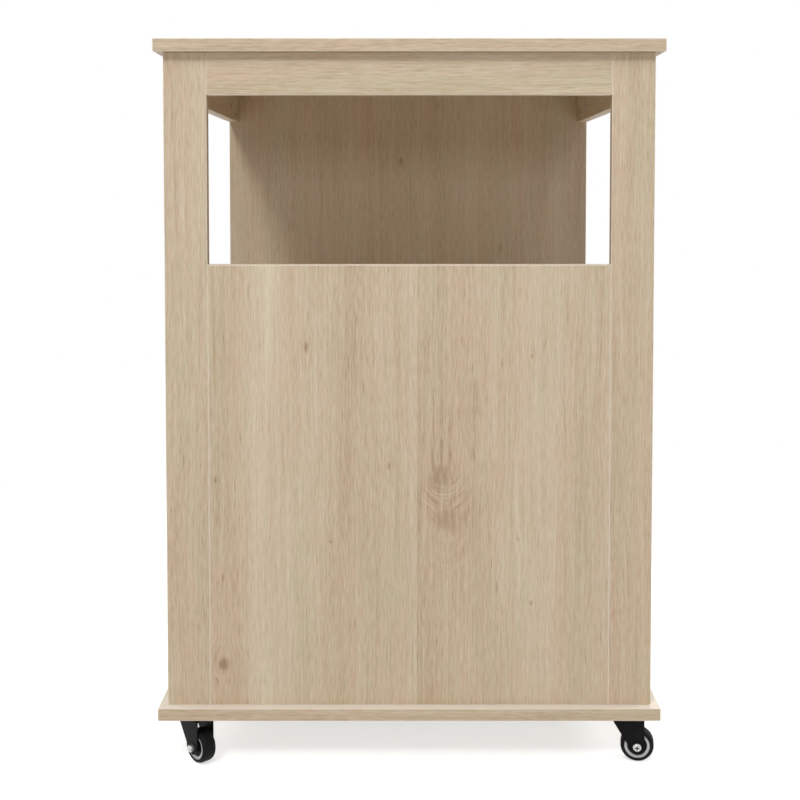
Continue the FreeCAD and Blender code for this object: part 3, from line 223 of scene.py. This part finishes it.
def make_swirl():
    """Crotch figure in the print: bowed year rings round two dark hearts, with dark lines above."""
    tree, w, given, result = new_effect(
        "swirl",
        {"Across": "value", "Along": "value", "Middle Across": "value", "Middle Along": "value",
         "Shade Before": "value"},
        {"Shade": "value"})
    across = w.minus(given["Across"], given["Middle Across"])
    along = w.minus(given["Along"], given["Middle Along"])
    waver = w.around(w.stretched_noise(across, along, 70.0, 45.0), SWIRL_WAVER)

    def patch(middle_across, middle_along, half_width, half_length, softness):
        """1 within an ellipse with a wavering edge, 0 well outside it."""
        reach = w.vector("LENGTH", w.joined(
            w.over(w.plus(w.minus(across, middle_across), waver), half_width),
            w.over(w.minus(along, middle_along), half_length), 0.0))
        return w.spread(reach, 1.0 + softness, 1.0 - softness)

    bowl = w.times(w.math("SQRT", w.plus(w.times(across, across), BOWL_ROUNDING)), BOWL_RISE)
    depth = w.plus(w.minus(along, bowl), w.times(waver, 0.5))
    year_rings = w.spread(w.stretched_noise(across, depth, 26.0, 300.0), 0.38, 0.66)
    ringed = w.times(w.times(year_rings, RING_SHADE), patch(*RING_PATCH))
    slack_rings = w.spread(w.stretched_noise(across, depth, 15.0, 110.0, 5.0), 0.40, 0.72)
    trailing = w.times(w.times(slack_rings, TRAIL_SHADE), patch(*TRAIL_PATCH))
    heart = w.times(patch(*HEART_PATCH), HEART_SHADE)
    lower_heart = w.times(patch(*LOWER_HEART_PATCH), LOWER_HEART_SHADE)
    turns = w.times(w.plus(across, w.times(waver, 0.12)), LINE_TURNS)
    lines = w.spread(w.math("SINE", w.plus(turns, LINE_START)), -0.1, 1.0)
    broken = w.spread(w.stretched_noise(across, along, 150.0, 22.0, 2.0, detail=1.0), 0.25, 0.60)
    column = w.times(patch(*COLUMN_PATCH), w.spread(along, *COLUMN_START))
    lined = w.times(w.times(w.times(lines, broken), column), LINE_SHADE)
    darkest = heart
    for part in (lower_heart, ringed, trailing, lined):
        darkest = w.larger(darkest, part)
    w.connect(w.plus(given["Shade Before"], darkest), result["Shade"])
    return tree


def make_band():
    """Paler or darker band along the print, which fades out over its own reach on either side."""
    tree, w, given, result = new_effect(
        "band",
        {"Across": "value", "Place": "value", "Reach Before": "value", "Reach After": "value",
         "Darker": "value", "Shade Before": "value"},
        {"Shade": "value"})
    off = w.minus(given["Across"], given["Place"])
    before = w.spread(w.over(w.times(off, -1.0), given["Reach Before"]), 1.0, 0.0)
    after = w.spread(w.over(off, given["Reach After"]), 1.0, 0.0)
    shade = w.times(w.math("MINIMUM", before, after), given["Darker"])
    w.connect(w.plus(given["Shade Before"], shade), result["Shade"])
    return tree


# ------------------------------------------------------------------ the oak print

# Layers of the print: features per metre across and along the grain, noise detail, offset of the seed
PRINT_LAYERS = {
    "sway": (6.0, 2.6, 2.0, 0.0), "tremor": (60.0, 12.0, 1.0, 0.0),
    "fibre": (700.0, 62.0, 1.0, 0.0), "thread": (620.0, 11.0, 0.0, 5.0), "strand": (300.0, 5.0, 1.0, 9.0),
    "streak": (105.0, 2.2, 1.0, 0.0), "cloud": (26.0, 1.7, 2.0, 0.0), "hue": (330.0, 52.0, 1.0, 31.0),
    "blush": (30.0, 3.0, 2.0, 57.0), "pores": (520.0, 34.0, 1.0, 13.0), "pale": (45.0, 1.5, 1.0, 71.0),
}
BENDS = {"sway": 0.020, "tremor": 0.0012}           # how far the fibres wander
TONE_GAINS = {"fibre": 0.68, "thread": 0.36, "strand": 0.22, "streak": 0.26, "cloud": 0.42}
HUE_GAINS = {"hue": 1.3, "blush": 1.5}
PALE_LEVELS, PALE_GAIN = (0.62, 0.78), 0.18
PORE_LEVELS, PORE_SHADE = (0.68, 0.78), 0.30
KNOT_SHADE = 0.75
GREY_TO_PINK, MIDDLE_TO_LIGHT, MIDDLE_TO_DARK = (0.1, 0.9), (0.5, 0.95), (0.5, -0.15)
EDGE_AND_HIGHLIGHT_SHARE = 0.85               # of the pale edge colour, with its painted highlight, where a board is palest
FIBRE_ROUGHNESS = (0.52, 0.44)  # in the fibres' hollows and on their crests
FIBRE_HEIGHT, PORE_DEPTH = 0.7, 0.6


def make_oak_print():
    """Light oak as it is printed on board: fibres, streaks, soft bands, pores and knots, mixed where Pale
    is high towards a pale edge colour that carries painted highlight.
    """
    tree, w, given, result = new_effect(
        "oak_print",
        {"Across": "value", "Along": "value", "Pale": "value", "Knots": "value", "Seed": "value",
         "Light": "colour", "Grey": "colour", "Pink": "colour", "Dark": "colour", "Edge Band And Highlight": "colour"},
        {"Color": "colour", "Roughness": "value", "Relief": "value"})

    def layer(name, across):
        across_scale, along_scale, detail, shift = PRINT_LAYERS[name]
        depth = w.plus(given["Seed"], shift)
        return w.stretched_noise(across, given["Along"], across_scale, along_scale, depth, detail)

    sway, tremor = (w.around(layer(name, given["Across"]), gain) for name, gain in BENDS.items())
    bent = w.plus(given["Across"], w.plus(sway, tremor))
    fibre = layer("fibre", bent)
    pale = w.spread(layer("pale", bent), *PALE_LEVELS)
    pores = w.spread(layer("pores", bent), *PORE_LEVELS)
    tone = 0.5
    for name, gain in TONE_GAINS.items():
        tone = w.plus(tone, w.around(fibre if name == "fibre" else layer(name, bent), gain))
    tone = w.plus(tone, w.times(pale, PALE_GAIN))
    tone = w.minus(tone, w.times(pores, PORE_SHADE))
    tone = w.minus(tone, w.times(given["Knots"], KNOT_SHADE))
    warmth = 0.5
    for name, gain in HUE_GAINS.items():
        warmth = w.plus(warmth, w.around(layer(name, bent), gain))
    colour = w.mixed(w.spread(warmth, *GREY_TO_PINK, smooth=False), given["Grey"], given["Pink"])
    colour = w.mixed(w.spread(tone, *MIDDLE_TO_LIGHT, smooth=False), colour, given["Light"])
    colour = w.mixed(w.spread(tone, *MIDDLE_TO_DARK, smooth=False), colour, given["Dark"])
    # Pale edge banding, partly painted highlight, where Pale is high
    colour = w.mixed(w.times(given["Pale"], EDGE_AND_HIGHLIGHT_SHARE), colour, given["Edge Band And Highlight"])
    w.connect(colour, result["Color"])
    w.connect(w.spread(fibre, 0.3, 0.7, *FIBRE_ROUGHNESS, smooth=False), result["Roughness"])
    relief = w.minus(w.times(fibre, FIBRE_HEIGHT), w.times(pores, PORE_DEPTH))
    w.connect(relief, result["Relief"])
    return tree


# ------------------------------------------------------------------ coated, plated and moulded surfaces

BROAD_SCALE = 0.06              # of the broad unevenness, beside the fine one
FINE_SHARE, BROAD_SHARE = 0.45, 0.55


def make_speckle():
    """Fine unevenness of a moulded, coated or plated surface."""
    tree, w, given, result = new_effect(
        "speckle",
        {"Place": "vector", "Grain Size": "value", "Dark": "colour", "Light": "colour",
         "Smooth": "value", "Rough": "value"},
        {"Color": "colour", "Roughness": "value", "Relief": "value"})
    grain = given["Grain Size"]
    scaled = w.vector("DIVIDE", given["Place"], w.joined(grain, grain, grain))
    fine = w.noise(scaled, 3.0, 0.6)
    broad = w.noise(w.vector("MULTIPLY", scaled, (BROAD_SCALE, BROAD_SCALE, BROAD_SCALE)))
    both = w.plus(w.times(fine, FINE_SHARE), w.times(broad, BROAD_SHARE))
    share = w.spread(both, 0.35, 0.65, smooth=False)
    w.connect(w.mixed(share, given["Dark"], given["Light"]), result["Color"])
    span = w.minus(given["Rough"], given["Smooth"])
    w.connect(w.plus(given["Smooth"], w.times(span, share)), result["Roughness"])
    w.connect(fine, result["Relief"])
    return tree


# The cross recess, where shade is painted: depths where the painted shade starts and where its floor ends,
# and its radius
RECESS_TOP, RECESS_FLOOR, RECESS_RADIUS = (0.0002, 0.0006), (0.0020, 0.0018), (0.0033, 0.0030)


def make_recess_shade():
    """Painted shade in the cross recess of a bolt head: 1 down in the recess, and 0 on its dome and shank.
    """
    tree, w, given, result = new_effect(
        "recess", {"Place": "vector", "Face": "vector", "Inward": "vector"}, {"Mask": "value"})
    off = w.vector("SUBTRACT", given["Place"], given["Face"])
    down = w.vector("DOT_PRODUCT", off, given["Inward"])
    aside = w.vector("LENGTH", w.vector("CROSS_PRODUCT", off, given["Inward"]))
    recess_shade_mask = w.times(w.spread(down, *RECESS_TOP), w.spread(aside, *RECESS_RADIUS))
    w.connect(w.times(recess_shade_mask, w.spread(down, *RECESS_FLOOR)), result["Mask"])
    return tree


BOARD_LAY = make_board_lay()
KNOT = make_knot()
SWIRL = make_swirl()
BAND = make_band()
OAK_PRINT = make_oak_print()
SPECKLE = make_speckle()
RECESS_SHADE = make_recess_shade()


# ------------------------------------------------------------------ materials

def new_material(name):
    """An empty material with its surface shader, ready to wire."""
    material = bpy.data.materials.new(name)
    material.use_nodes = True
    material.node_tree.nodes.clear()
    w = Wiring(material.node_tree)
    shader = w.add("ShaderNodeBsdfPrincipled")
    output = w.add("ShaderNodeOutputMaterial")
    w.connect(shader.outputs[0], output.inputs["Surface"])
    return material, w, shader


def add_relief(w, shader, height, depth):
    bump = w.add("ShaderNodeBump", {"Height": height, "Distance": depth, "Strength": 1.0})
    w.connect(bump.outputs[0], shader.inputs["Normal"])


OAK_LIGHT = srgb(214, 200, 174)
OAK_GREY = srgb(194, 179, 149)
OAK_PINK = srgb(202, 176, 150)
OAK_DARK = srgb(156, 126, 94)
# Pale edge banding, made paler still as painted highlight in the eased edges' grooves
EDGE_BAND_AND_HIGHLIGHT = srgb(238, 229, 214)
OAK_RELIEF = 0.00008
HIGHLIGHT_RIM_FADE = (0.0026, 0.0012)     # before a painted highlight rim's end, where it starts and where it is full
# Painted shade: the dark grey of the bolt heads' cross recesses
RECESS_SHADE_COLOUR = srgb(52, 52, 52)


def oak_board(name, thickness, grain, seed, knots, figure):
    """Printed oak board, given the axes of its thickness and grain."""
    material, w, shader = new_material(name)
    place = w.add("ShaderNodeTexCoord").outputs
    lay = use(w, BOARD_LAY, {
        "Place": place["Object"], "Normal": place["Normal"], "Thickness": thickness, "Grain": grain})
    across, along, shade = lay["Across"], lay["Along"], 0.0
    for middle_across, middle_along, half_width, half_length, darkness in knots:
        knot = use(w, KNOT, {
            "Across": across, "Along": along, "Middle Across": middle_across,
            "Middle Along": middle_along, "Half Width": half_width, "Half Length": half_length,
            "Darkness": darkness, "Shade Before": shade})
        across, shade = knot["Across"], knot["Shade"]
    for middle_across, middle_along in figure.get("swirls", ()):
        shade = use(w, SWIRL, {
            "Across": across, "Along": along, "Middle Across": middle_across,
            "Middle Along": middle_along, "Shade Before": shade})["Shade"]
    for band_place, reach_before, reach_after, darker in figure.get("bands", ()):
        shade = use(w, BAND, {
            "Across": lay["Across"], "Place": band_place, "Reach Before": reach_before,
            "Reach After": reach_after, "Darker": darker, "Shade Before": shade})["Shade"]
    # Pale mask: eased edges (pale banding and painted highlight), and painted highlight on lit faces and
    # rims
    pale = w.larger(lay["Eased"], w.times(lay["On Face"], figure.get("painted_highlight_face", 0.0)))
    for highlight_rim_end in figure.get("painted_highlight_rims", ()):
        pale = w.larger(pale, w.spread(along, *(highlight_rim_end - off for off in HIGHLIGHT_RIM_FADE)))
    oak = use(w, OAK_PRINT, {
        "Across": across, "Along": along, "Pale": pale, "Knots": shade, "Seed": seed,
        "Light": OAK_LIGHT, "Grey": OAK_GREY, "Pink": OAK_PINK, "Dark": OAK_DARK, "Edge Band And Highlight": EDGE_BAND_AND_HIGHLIGHT})
    w.connect(oak["Color"], shader.inputs["Base Color"])
    w.connect(oak["Roughness"], shader.inputs["Roughness"])
    add_relief(w, shader, oak["Relief"], OAK_RELIEF)
    return material


def speckled(name, dark, light, smooth, rough, grain_size, relief, metallic=0.0, specular=0.5, recess=None):
    """Coated, plated or moulded surface, with painted shade in a recess that is given by its face and the
    way in.
    """
    material, w, shader = new_material(name)
    place = w.add("ShaderNodeTexCoord").outputs["Object"]
    speckle = use(w, SPECKLE, {
        "Place": place, "Grain Size": grain_size, "Dark": dark, "Light": light,
        "Smooth": smooth, "Rough": rough})
    colour = speckle["Color"]
    if recess is not None:
        face, inward = recess
        recess_shade_mask = use(w, RECESS_SHADE, {"Place": place, "Face": face, "Inward": inward})["Mask"]
        colour = w.mixed(recess_shade_mask, colour, RECESS_SHADE_COLOUR)
    w.connect(colour, shader.inputs["Base Color"])
    w.connect(speckle["Roughness"], shader.inputs["Roughness"])
    w.connect(metallic, shader.inputs["Metallic"])
    w.connect(specular, shader.inputs["Specular IOR Level"])
    add_relief(w, shader, speckle["Relief"], relief)
    return material


def bolt_recess(corner):
    """Middle of the axle bolt's head and the way into the bolt. The head is the end nearer the wheel."""
    roll = next(joint for joint in frame["joints"] if joint["name"] == f"wheel_{corner}_roll")
    middle, axis = Vector(roll["pos_m"]), Vector(roll["axis"]).normalized()
    reaches = [axis.dot(vertex.co - middle) for vertex in nodes[f"caster_axle_{corner}"].data.vertices]
    outward = min(min(reaches), max(reaches), key=abs)
    return middle + axis * outward, -axis if outward > 0.0 else axis


def coat(material, *names):
    for name in names:
        for slot in nodes[name].material_slots:
            slot.material = material


# ------------------------------------------------------------------ what each board's print shows

# Knots, as (across, along, half width, half length, darkness)
LOWER_PANEL_KNOTS = (
    (-0.223, 0.124, 0.012, 0.014, 0.85), (-0.122, 0.508, 0.004, 0.011, 0.80),
    (-0.2315, 0.347, 0.0022, 0.003, 0.9), (-0.024, 0.364, 0.003, 0.008, 0.9),
    (-0.094, 0.273, 0.0018, 0.003, 0.9), (-0.223, 0.229, 0.002, 0.008, 0.8),
    (0.146, 0.199, 0.004, 0.005, 0.8), (0.130, 0.276, 0.0018, 0.003, 0.8),
    (0.146, 0.496, 0.0025, 0.005, 0.7), (0.080, 0.440, 0.006, 0.030, 0.35))
RIGHT_END_KNOTS = (
    (-0.012, 0.742, 0.006, 0.011, 0.8), (0.15, 0.60, 0.003, 0.008, 0.8), (-0.10, 0.30, 0.010, 0.014, 0.6))
TOP_KNOTS = ((-0.09, 0.11, 0.008, 0.016, 0.7), (0.17, -0.16, 0.004, 0.009, 0.8))
DOOR_KNOTS = (
    (-0.15, 0.33, 0.007, 0.015, 0.7), (0.21, 0.19, 0.004, 0.009, 0.8), (0.10, 0.41, 0.003, 0.006, 0.8))
BACK_KNOTS = ((-0.12, 0.22, 0.009, 0.018, 0.7), (0.09, 0.37, 0.004, 0.009, 0.8))

# Each board: the axis through its thickness, the axis of its grain and its knots
BOARDS = {
    "top_board": (Z_AXIS, Y_AXIS, TOP_KNOTS),
    "base_board": (Z_AXIS, X_AXIS, ()),
    "left_end_front_stile": (Y_AXIS, Z_AXIS, ()),
    "left_end_back_stile": (Y_AXIS, Z_AXIS, ()),
    "left_end_top_rail": (Y_AXIS, X_AXIS, ()),
    "left_end_lower_panel": (Y_AXIS, Z_AXIS, LOWER_PANEL_KNOTS),
    "right_end_panel": (Y_AXIS, Z_AXIS, RIGHT_END_KNOTS),
    "front_top_rail": (X_AXIS, Y_AXIS, ()),
    "back_top_rail": (X_AXIS, Y_AXIS, ()),
    "niche_shelf": (Z_AXIS, Y_AXIS, ()),
    "back_panel": (X_AXIS, Z_AXIS, BACK_KNOTS),
    "adjustable_shelf": (Z_AXIS, Y_AXIS, ()),
    "door_left": (X_AXIS, Z_AXIS, DOOR_KNOTS),
    "door_right": (X_AXIS, Z_AXIS, DOOR_KNOTS),
}
SEED_STEP = 7.3      # far enough that no two boards share a stretch of print

# Figure of single boards: swirls as (across, along), bands as (across, reach before, reach after, darker),
# places along the grain where a rim of painted highlight ends, and how far a face is lightened towards the
# edge band's colour as painted highlight
FIGURES = {
    "left_end_lower_panel": {
        # The lower panel's top edge takes a painted highlight rim
        "swirls": ((0.043, 0.324),), "painted_highlight_rims": (0.606,),
        "bands": ((-0.173, 0.040, 0.045, -0.34), (0.0086, 0.026, 0.0012, -0.24),
                  (0.0098, 0.001, 0.055, 0.12), (-0.072, 0.035, 0.025, 0.10),
                  (0.083, 0.028, 0.024, 0.07), (-0.230, 0.020, 0.045, 0.08),
                  (0.160, 0.060, 0.060, -0.12))},
    # The base board's faces are painted paler, as painted highlight from above
    "base_board": {"painted_highlight_face": 0.95, "bands": ((0.0675, 0.02, 0.02, 0.10),)},
}

for number, (board, (thickness, grain, knots)) in enumerate(BOARDS.items(), start=1):
    figure = FIGURES.get(board, {})
    coat(oak_board(f"oak_{board}", thickness, grain, number * SEED_STEP, knots, figure), board)


# ------------------------------------------------------------------ what the other pieces are made of

black_coating = speckled(
    "black_coating", dark=srgb(7, 7, 8), light=srgb(17, 17, 18), smooth=0.34, rough=0.48,
    grain_size=0.0009, relief=0.00004, specular=0.09)
black_rubber = speckled(
    "black_rubber", dark=srgb(10, 10, 10), light=srgb(22, 22, 22), smooth=0.5, rough=0.7,
    grain_size=0.0007, relief=0.00012, specular=0.12)
grey_plastic = speckled(
    "grey_plastic", dark=srgb(188, 188, 188), light=srgb(208, 208, 207), smooth=0.35, rough=0.5,
    grain_size=0.0011, relief=0.00003)
black_plastic = speckled(
    "black_plastic", dark=srgb(8, 8, 9), light=srgb(17, 17, 18), smooth=0.34, rough=0.48,
    grain_size=0.001, relief=0.00003, specular=0.10)
white_plastic = speckled(
    "white_plastic", dark=srgb(216, 215, 210), light=srgb(228, 227, 222), smooth=0.4, rough=0.5,
    grain_size=0.001, relief=0.00003)
beech = speckled(
    "beech", dark=srgb(196, 160, 116), light=srgb(216, 184, 142), smooth=0.6, rough=0.75,
    grain_size=0.0012, relief=0.00006)
ZINC = {"dark": srgb(176, 177, 174), "light": srgb(222, 222, 218), "smooth": 0.22, "rough": 0.38,
        "grain_size": 0.0008, "relief": 0.00002, "metallic": 1.0}
zinc = speckled("zinc", **ZINC)

coat(zinc, "cam_locks", "cam_bolts", "base_screws", "shelf_pins", "hinge_fixed_leaves", "hinge_pins",
     "hinge_door_leaves_left", "hinge_door_leaves_right", "small_screws_left", "small_screws_right",
     "small_screws_cabinet", "knob_screw_left", "knob_screw_right", "catch_plate_left",
     "catch_plate_right", "caster_screws")
coat(beech, "dowels")
coat(white_plastic, "magnetic_catch")
coat(black_plastic, "caster_washers")
coat(black_coating, "knob_left", "knob_right", "caster_kingpins")
for corner in CORNERS:
    coat(black_coating, f"caster_plate_{corner}", f"caster_fork_{corner}")
    # The axle bolt heads get painted shade in their cross recesses
    coat(speckled(f"zinc_axle_{corner}", recess=bolt_recess(corner), **ZINC), f"caster_axle_{corner}")
    coat(black_rubber, f"caster_tyre_{corner}")
    coat(grey_plastic, f"caster_rim_{corner}")
    coat(black_plastic, f"caster_hub_{corner}")


# ------------------------------------------------------------------ studio

WHITE = (1.0, 1.0, 1.0, 1.0)
FLOOR_RADIUS = 12.0
FLOOR_COLOUR = srgb(222, 221, 219)
FLOOR_LIFT = 0.60               # added to the floor as it is seen, and not to its light on the cart
SHADOW_REACH = (0.55, 1.5)      # from the cart's middle, the floor's shading fades out between these
FILL_STRENGTH = 0.14
FILL_TINT = (1.0, 0.95, 0.87, 1.0)
KEY_TINT = (0.95, 0.975, 1.0)
PLAIN_TINT = (1.0, 1.0, 1.0)

# Lamps: where each hangs, the height at which it aims at the cart, its side, its power and its tint
LAMPS = {
    "left_lamp": ((-1.41, -3.6, 3.7), 0.6, 1.0, 95.0, KEY_TINT),
    "right_lamp": ((1.6, -3.4, 3.4), 0.6, 1.0, 13.5, KEY_TINT),
    "high_lamp": ((0.0, -2.4, 4.3), 0.7, 1.5, 46.5, KEY_TINT),
    "low_lamp": ((0.0, -4.0, 1.25), 0.6, 0.5, 15.5, KEY_TINT),
    "door_side_lamp": ((3.4, 0.7, 2.6), 0.5, 1.2, 55.0, PLAIN_TINT),
    "back_side_lamp": ((-3.4, 0.9, 2.6), 0.5, 1.2, 45.0, PLAIN_TINT),
    "right_end_lamp": ((0.5, 3.4, 2.6), 0.5, 1.5, 50.0, PLAIN_TINT),
}


def seen_directly(w):
    """1 for what the camera, a gloss or a glass sees of the background, 0 for its light on the cart."""
    path = w.add("ShaderNodeLightPath").outputs
    seen = w.larger(path["Is Camera Ray"], path["Is Glossy Ray"])
    return w.larger(seen, path["Is Transmission Ray"])


def make_floor():
    """Pale floor: it takes the cart's shadow near by and is plain white further off."""
    bpy.ops.mesh.primitive_circle_add(vertices=96, radius=FLOOR_RADIUS, fill_type="NGON")
    floor = bpy.context.object
    floor.name = "floor"
    material = bpy.data.materials.new("studio_floor")
    material.use_nodes = True
    material.node_tree.nodes.clear()
    w = Wiring(material.node_tree)
    matt = w.add("ShaderNodeBsdfDiffuse", {"Color": FLOOR_COLOUR})
    lift = w.add("ShaderNodeEmission", {
        "Color": WHITE, "Strength": w.times(seen_directly(w), FLOOR_LIFT)})
    shaded = w.add("ShaderNodeAddShader", {0: matt.outputs[0], 1: lift.outputs[0]})
    plain = w.add("ShaderNodeEmission", {"Color": WHITE, "Strength": 1.0})
    distance = w.vector("LENGTH", w.add("ShaderNodeTexCoord").outputs["Object"])
    far = w.times(w.spread(distance, *SHADOW_REACH), seen_directly(w))
    surface = w.add("ShaderNodeMixShader", {0: far, 1: shaded.outputs[0], 2: plain.outputs[0]})
    w.add("ShaderNodeOutputMaterial", {"Surface": surface.outputs[0]})
    floor.data.materials.append(material)


def make_world():
    """White backdrop, which lights the cart evenly at a lower level."""
    world = bpy.data.worlds.new("studio")
    bpy.context.scene.world = world
    world.use_nodes = True
    world.node_tree.nodes.clear()
    w = Wiring(world.node_tree)
    seen = seen_directly(w)
    level = w.spread(seen, 0.0, 1.0, FILL_STRENGTH, 1.0, smooth=False)
    backdrop = w.add("ShaderNodeBackground", {"Color": w.mixed(seen, FILL_TINT, WHITE), "Strength": level})
    w.add("ShaderNodeOutputWorld", {"Surface": backdrop.outputs[0]})


def add_lamp(name, place, aim_height, side, power, tint):
    """Soft square lamp, aimed at the cart's middle line."""
    data = bpy.data.lights.new(name, "AREA")
    data.size = side
    data.energy = power
    data.color = tint
    lamp = bpy.data.objects.new(name, data)
    bpy.context.scene.collection.objects.link(lamp)
    lamp.location = place
    aim = Vector((0.0, 0.0, aim_height)) - Vector(place)
    lamp.rotation_euler = aim.to_track_quat("-Z", "Y").to_euler()


make_floor()
make_world()
for lamp_name, settings in LAMPS.items():
    add_lamp(lamp_name, *settings)


# ------------------------------------------------------------------ camera

FRAME_SIDE = 800                # the photograph's side, in pixels
CAMERA_PLACE = (-0.0057, -1.772, 0.688)
CAMERA_PITCH = math.radians(2.5)
FOCAL_PIXELS = 1255.2
AXIS_PIXEL = (404.5, 249.2)     # where the lens points in the photograph's frame
SENSOR_WIDTH = 36.0


def make_camera():
    """The photograph's camera, level but for a slight tilt, with its shift."""
    data = bpy.data.cameras.new("camera")
    data.sensor_width = SENSOR_WIDTH
    data.lens = FOCAL_PIXELS * SENSOR_WIDTH / FRAME_SIDE
    data.shift_x = (FRAME_SIDE / 2 - AXIS_PIXEL[0]) / FRAME_SIDE
    data.shift_y = (AXIS_PIXEL[1] - FRAME_SIDE / 2) / FRAME_SIDE
    camera = bpy.data.objects.new("camera", data)
    bpy.context.scene.collection.objects.link(camera)
    camera.location = CAMERA_PLACE
    camera.rotation_euler = (math.pi / 2 - CAMERA_PITCH, 0.0, 0.0)
    bpy.context.scene.camera = camera


make_camera()
bpy.context.scene.view_settings.view_transform = "Standard"
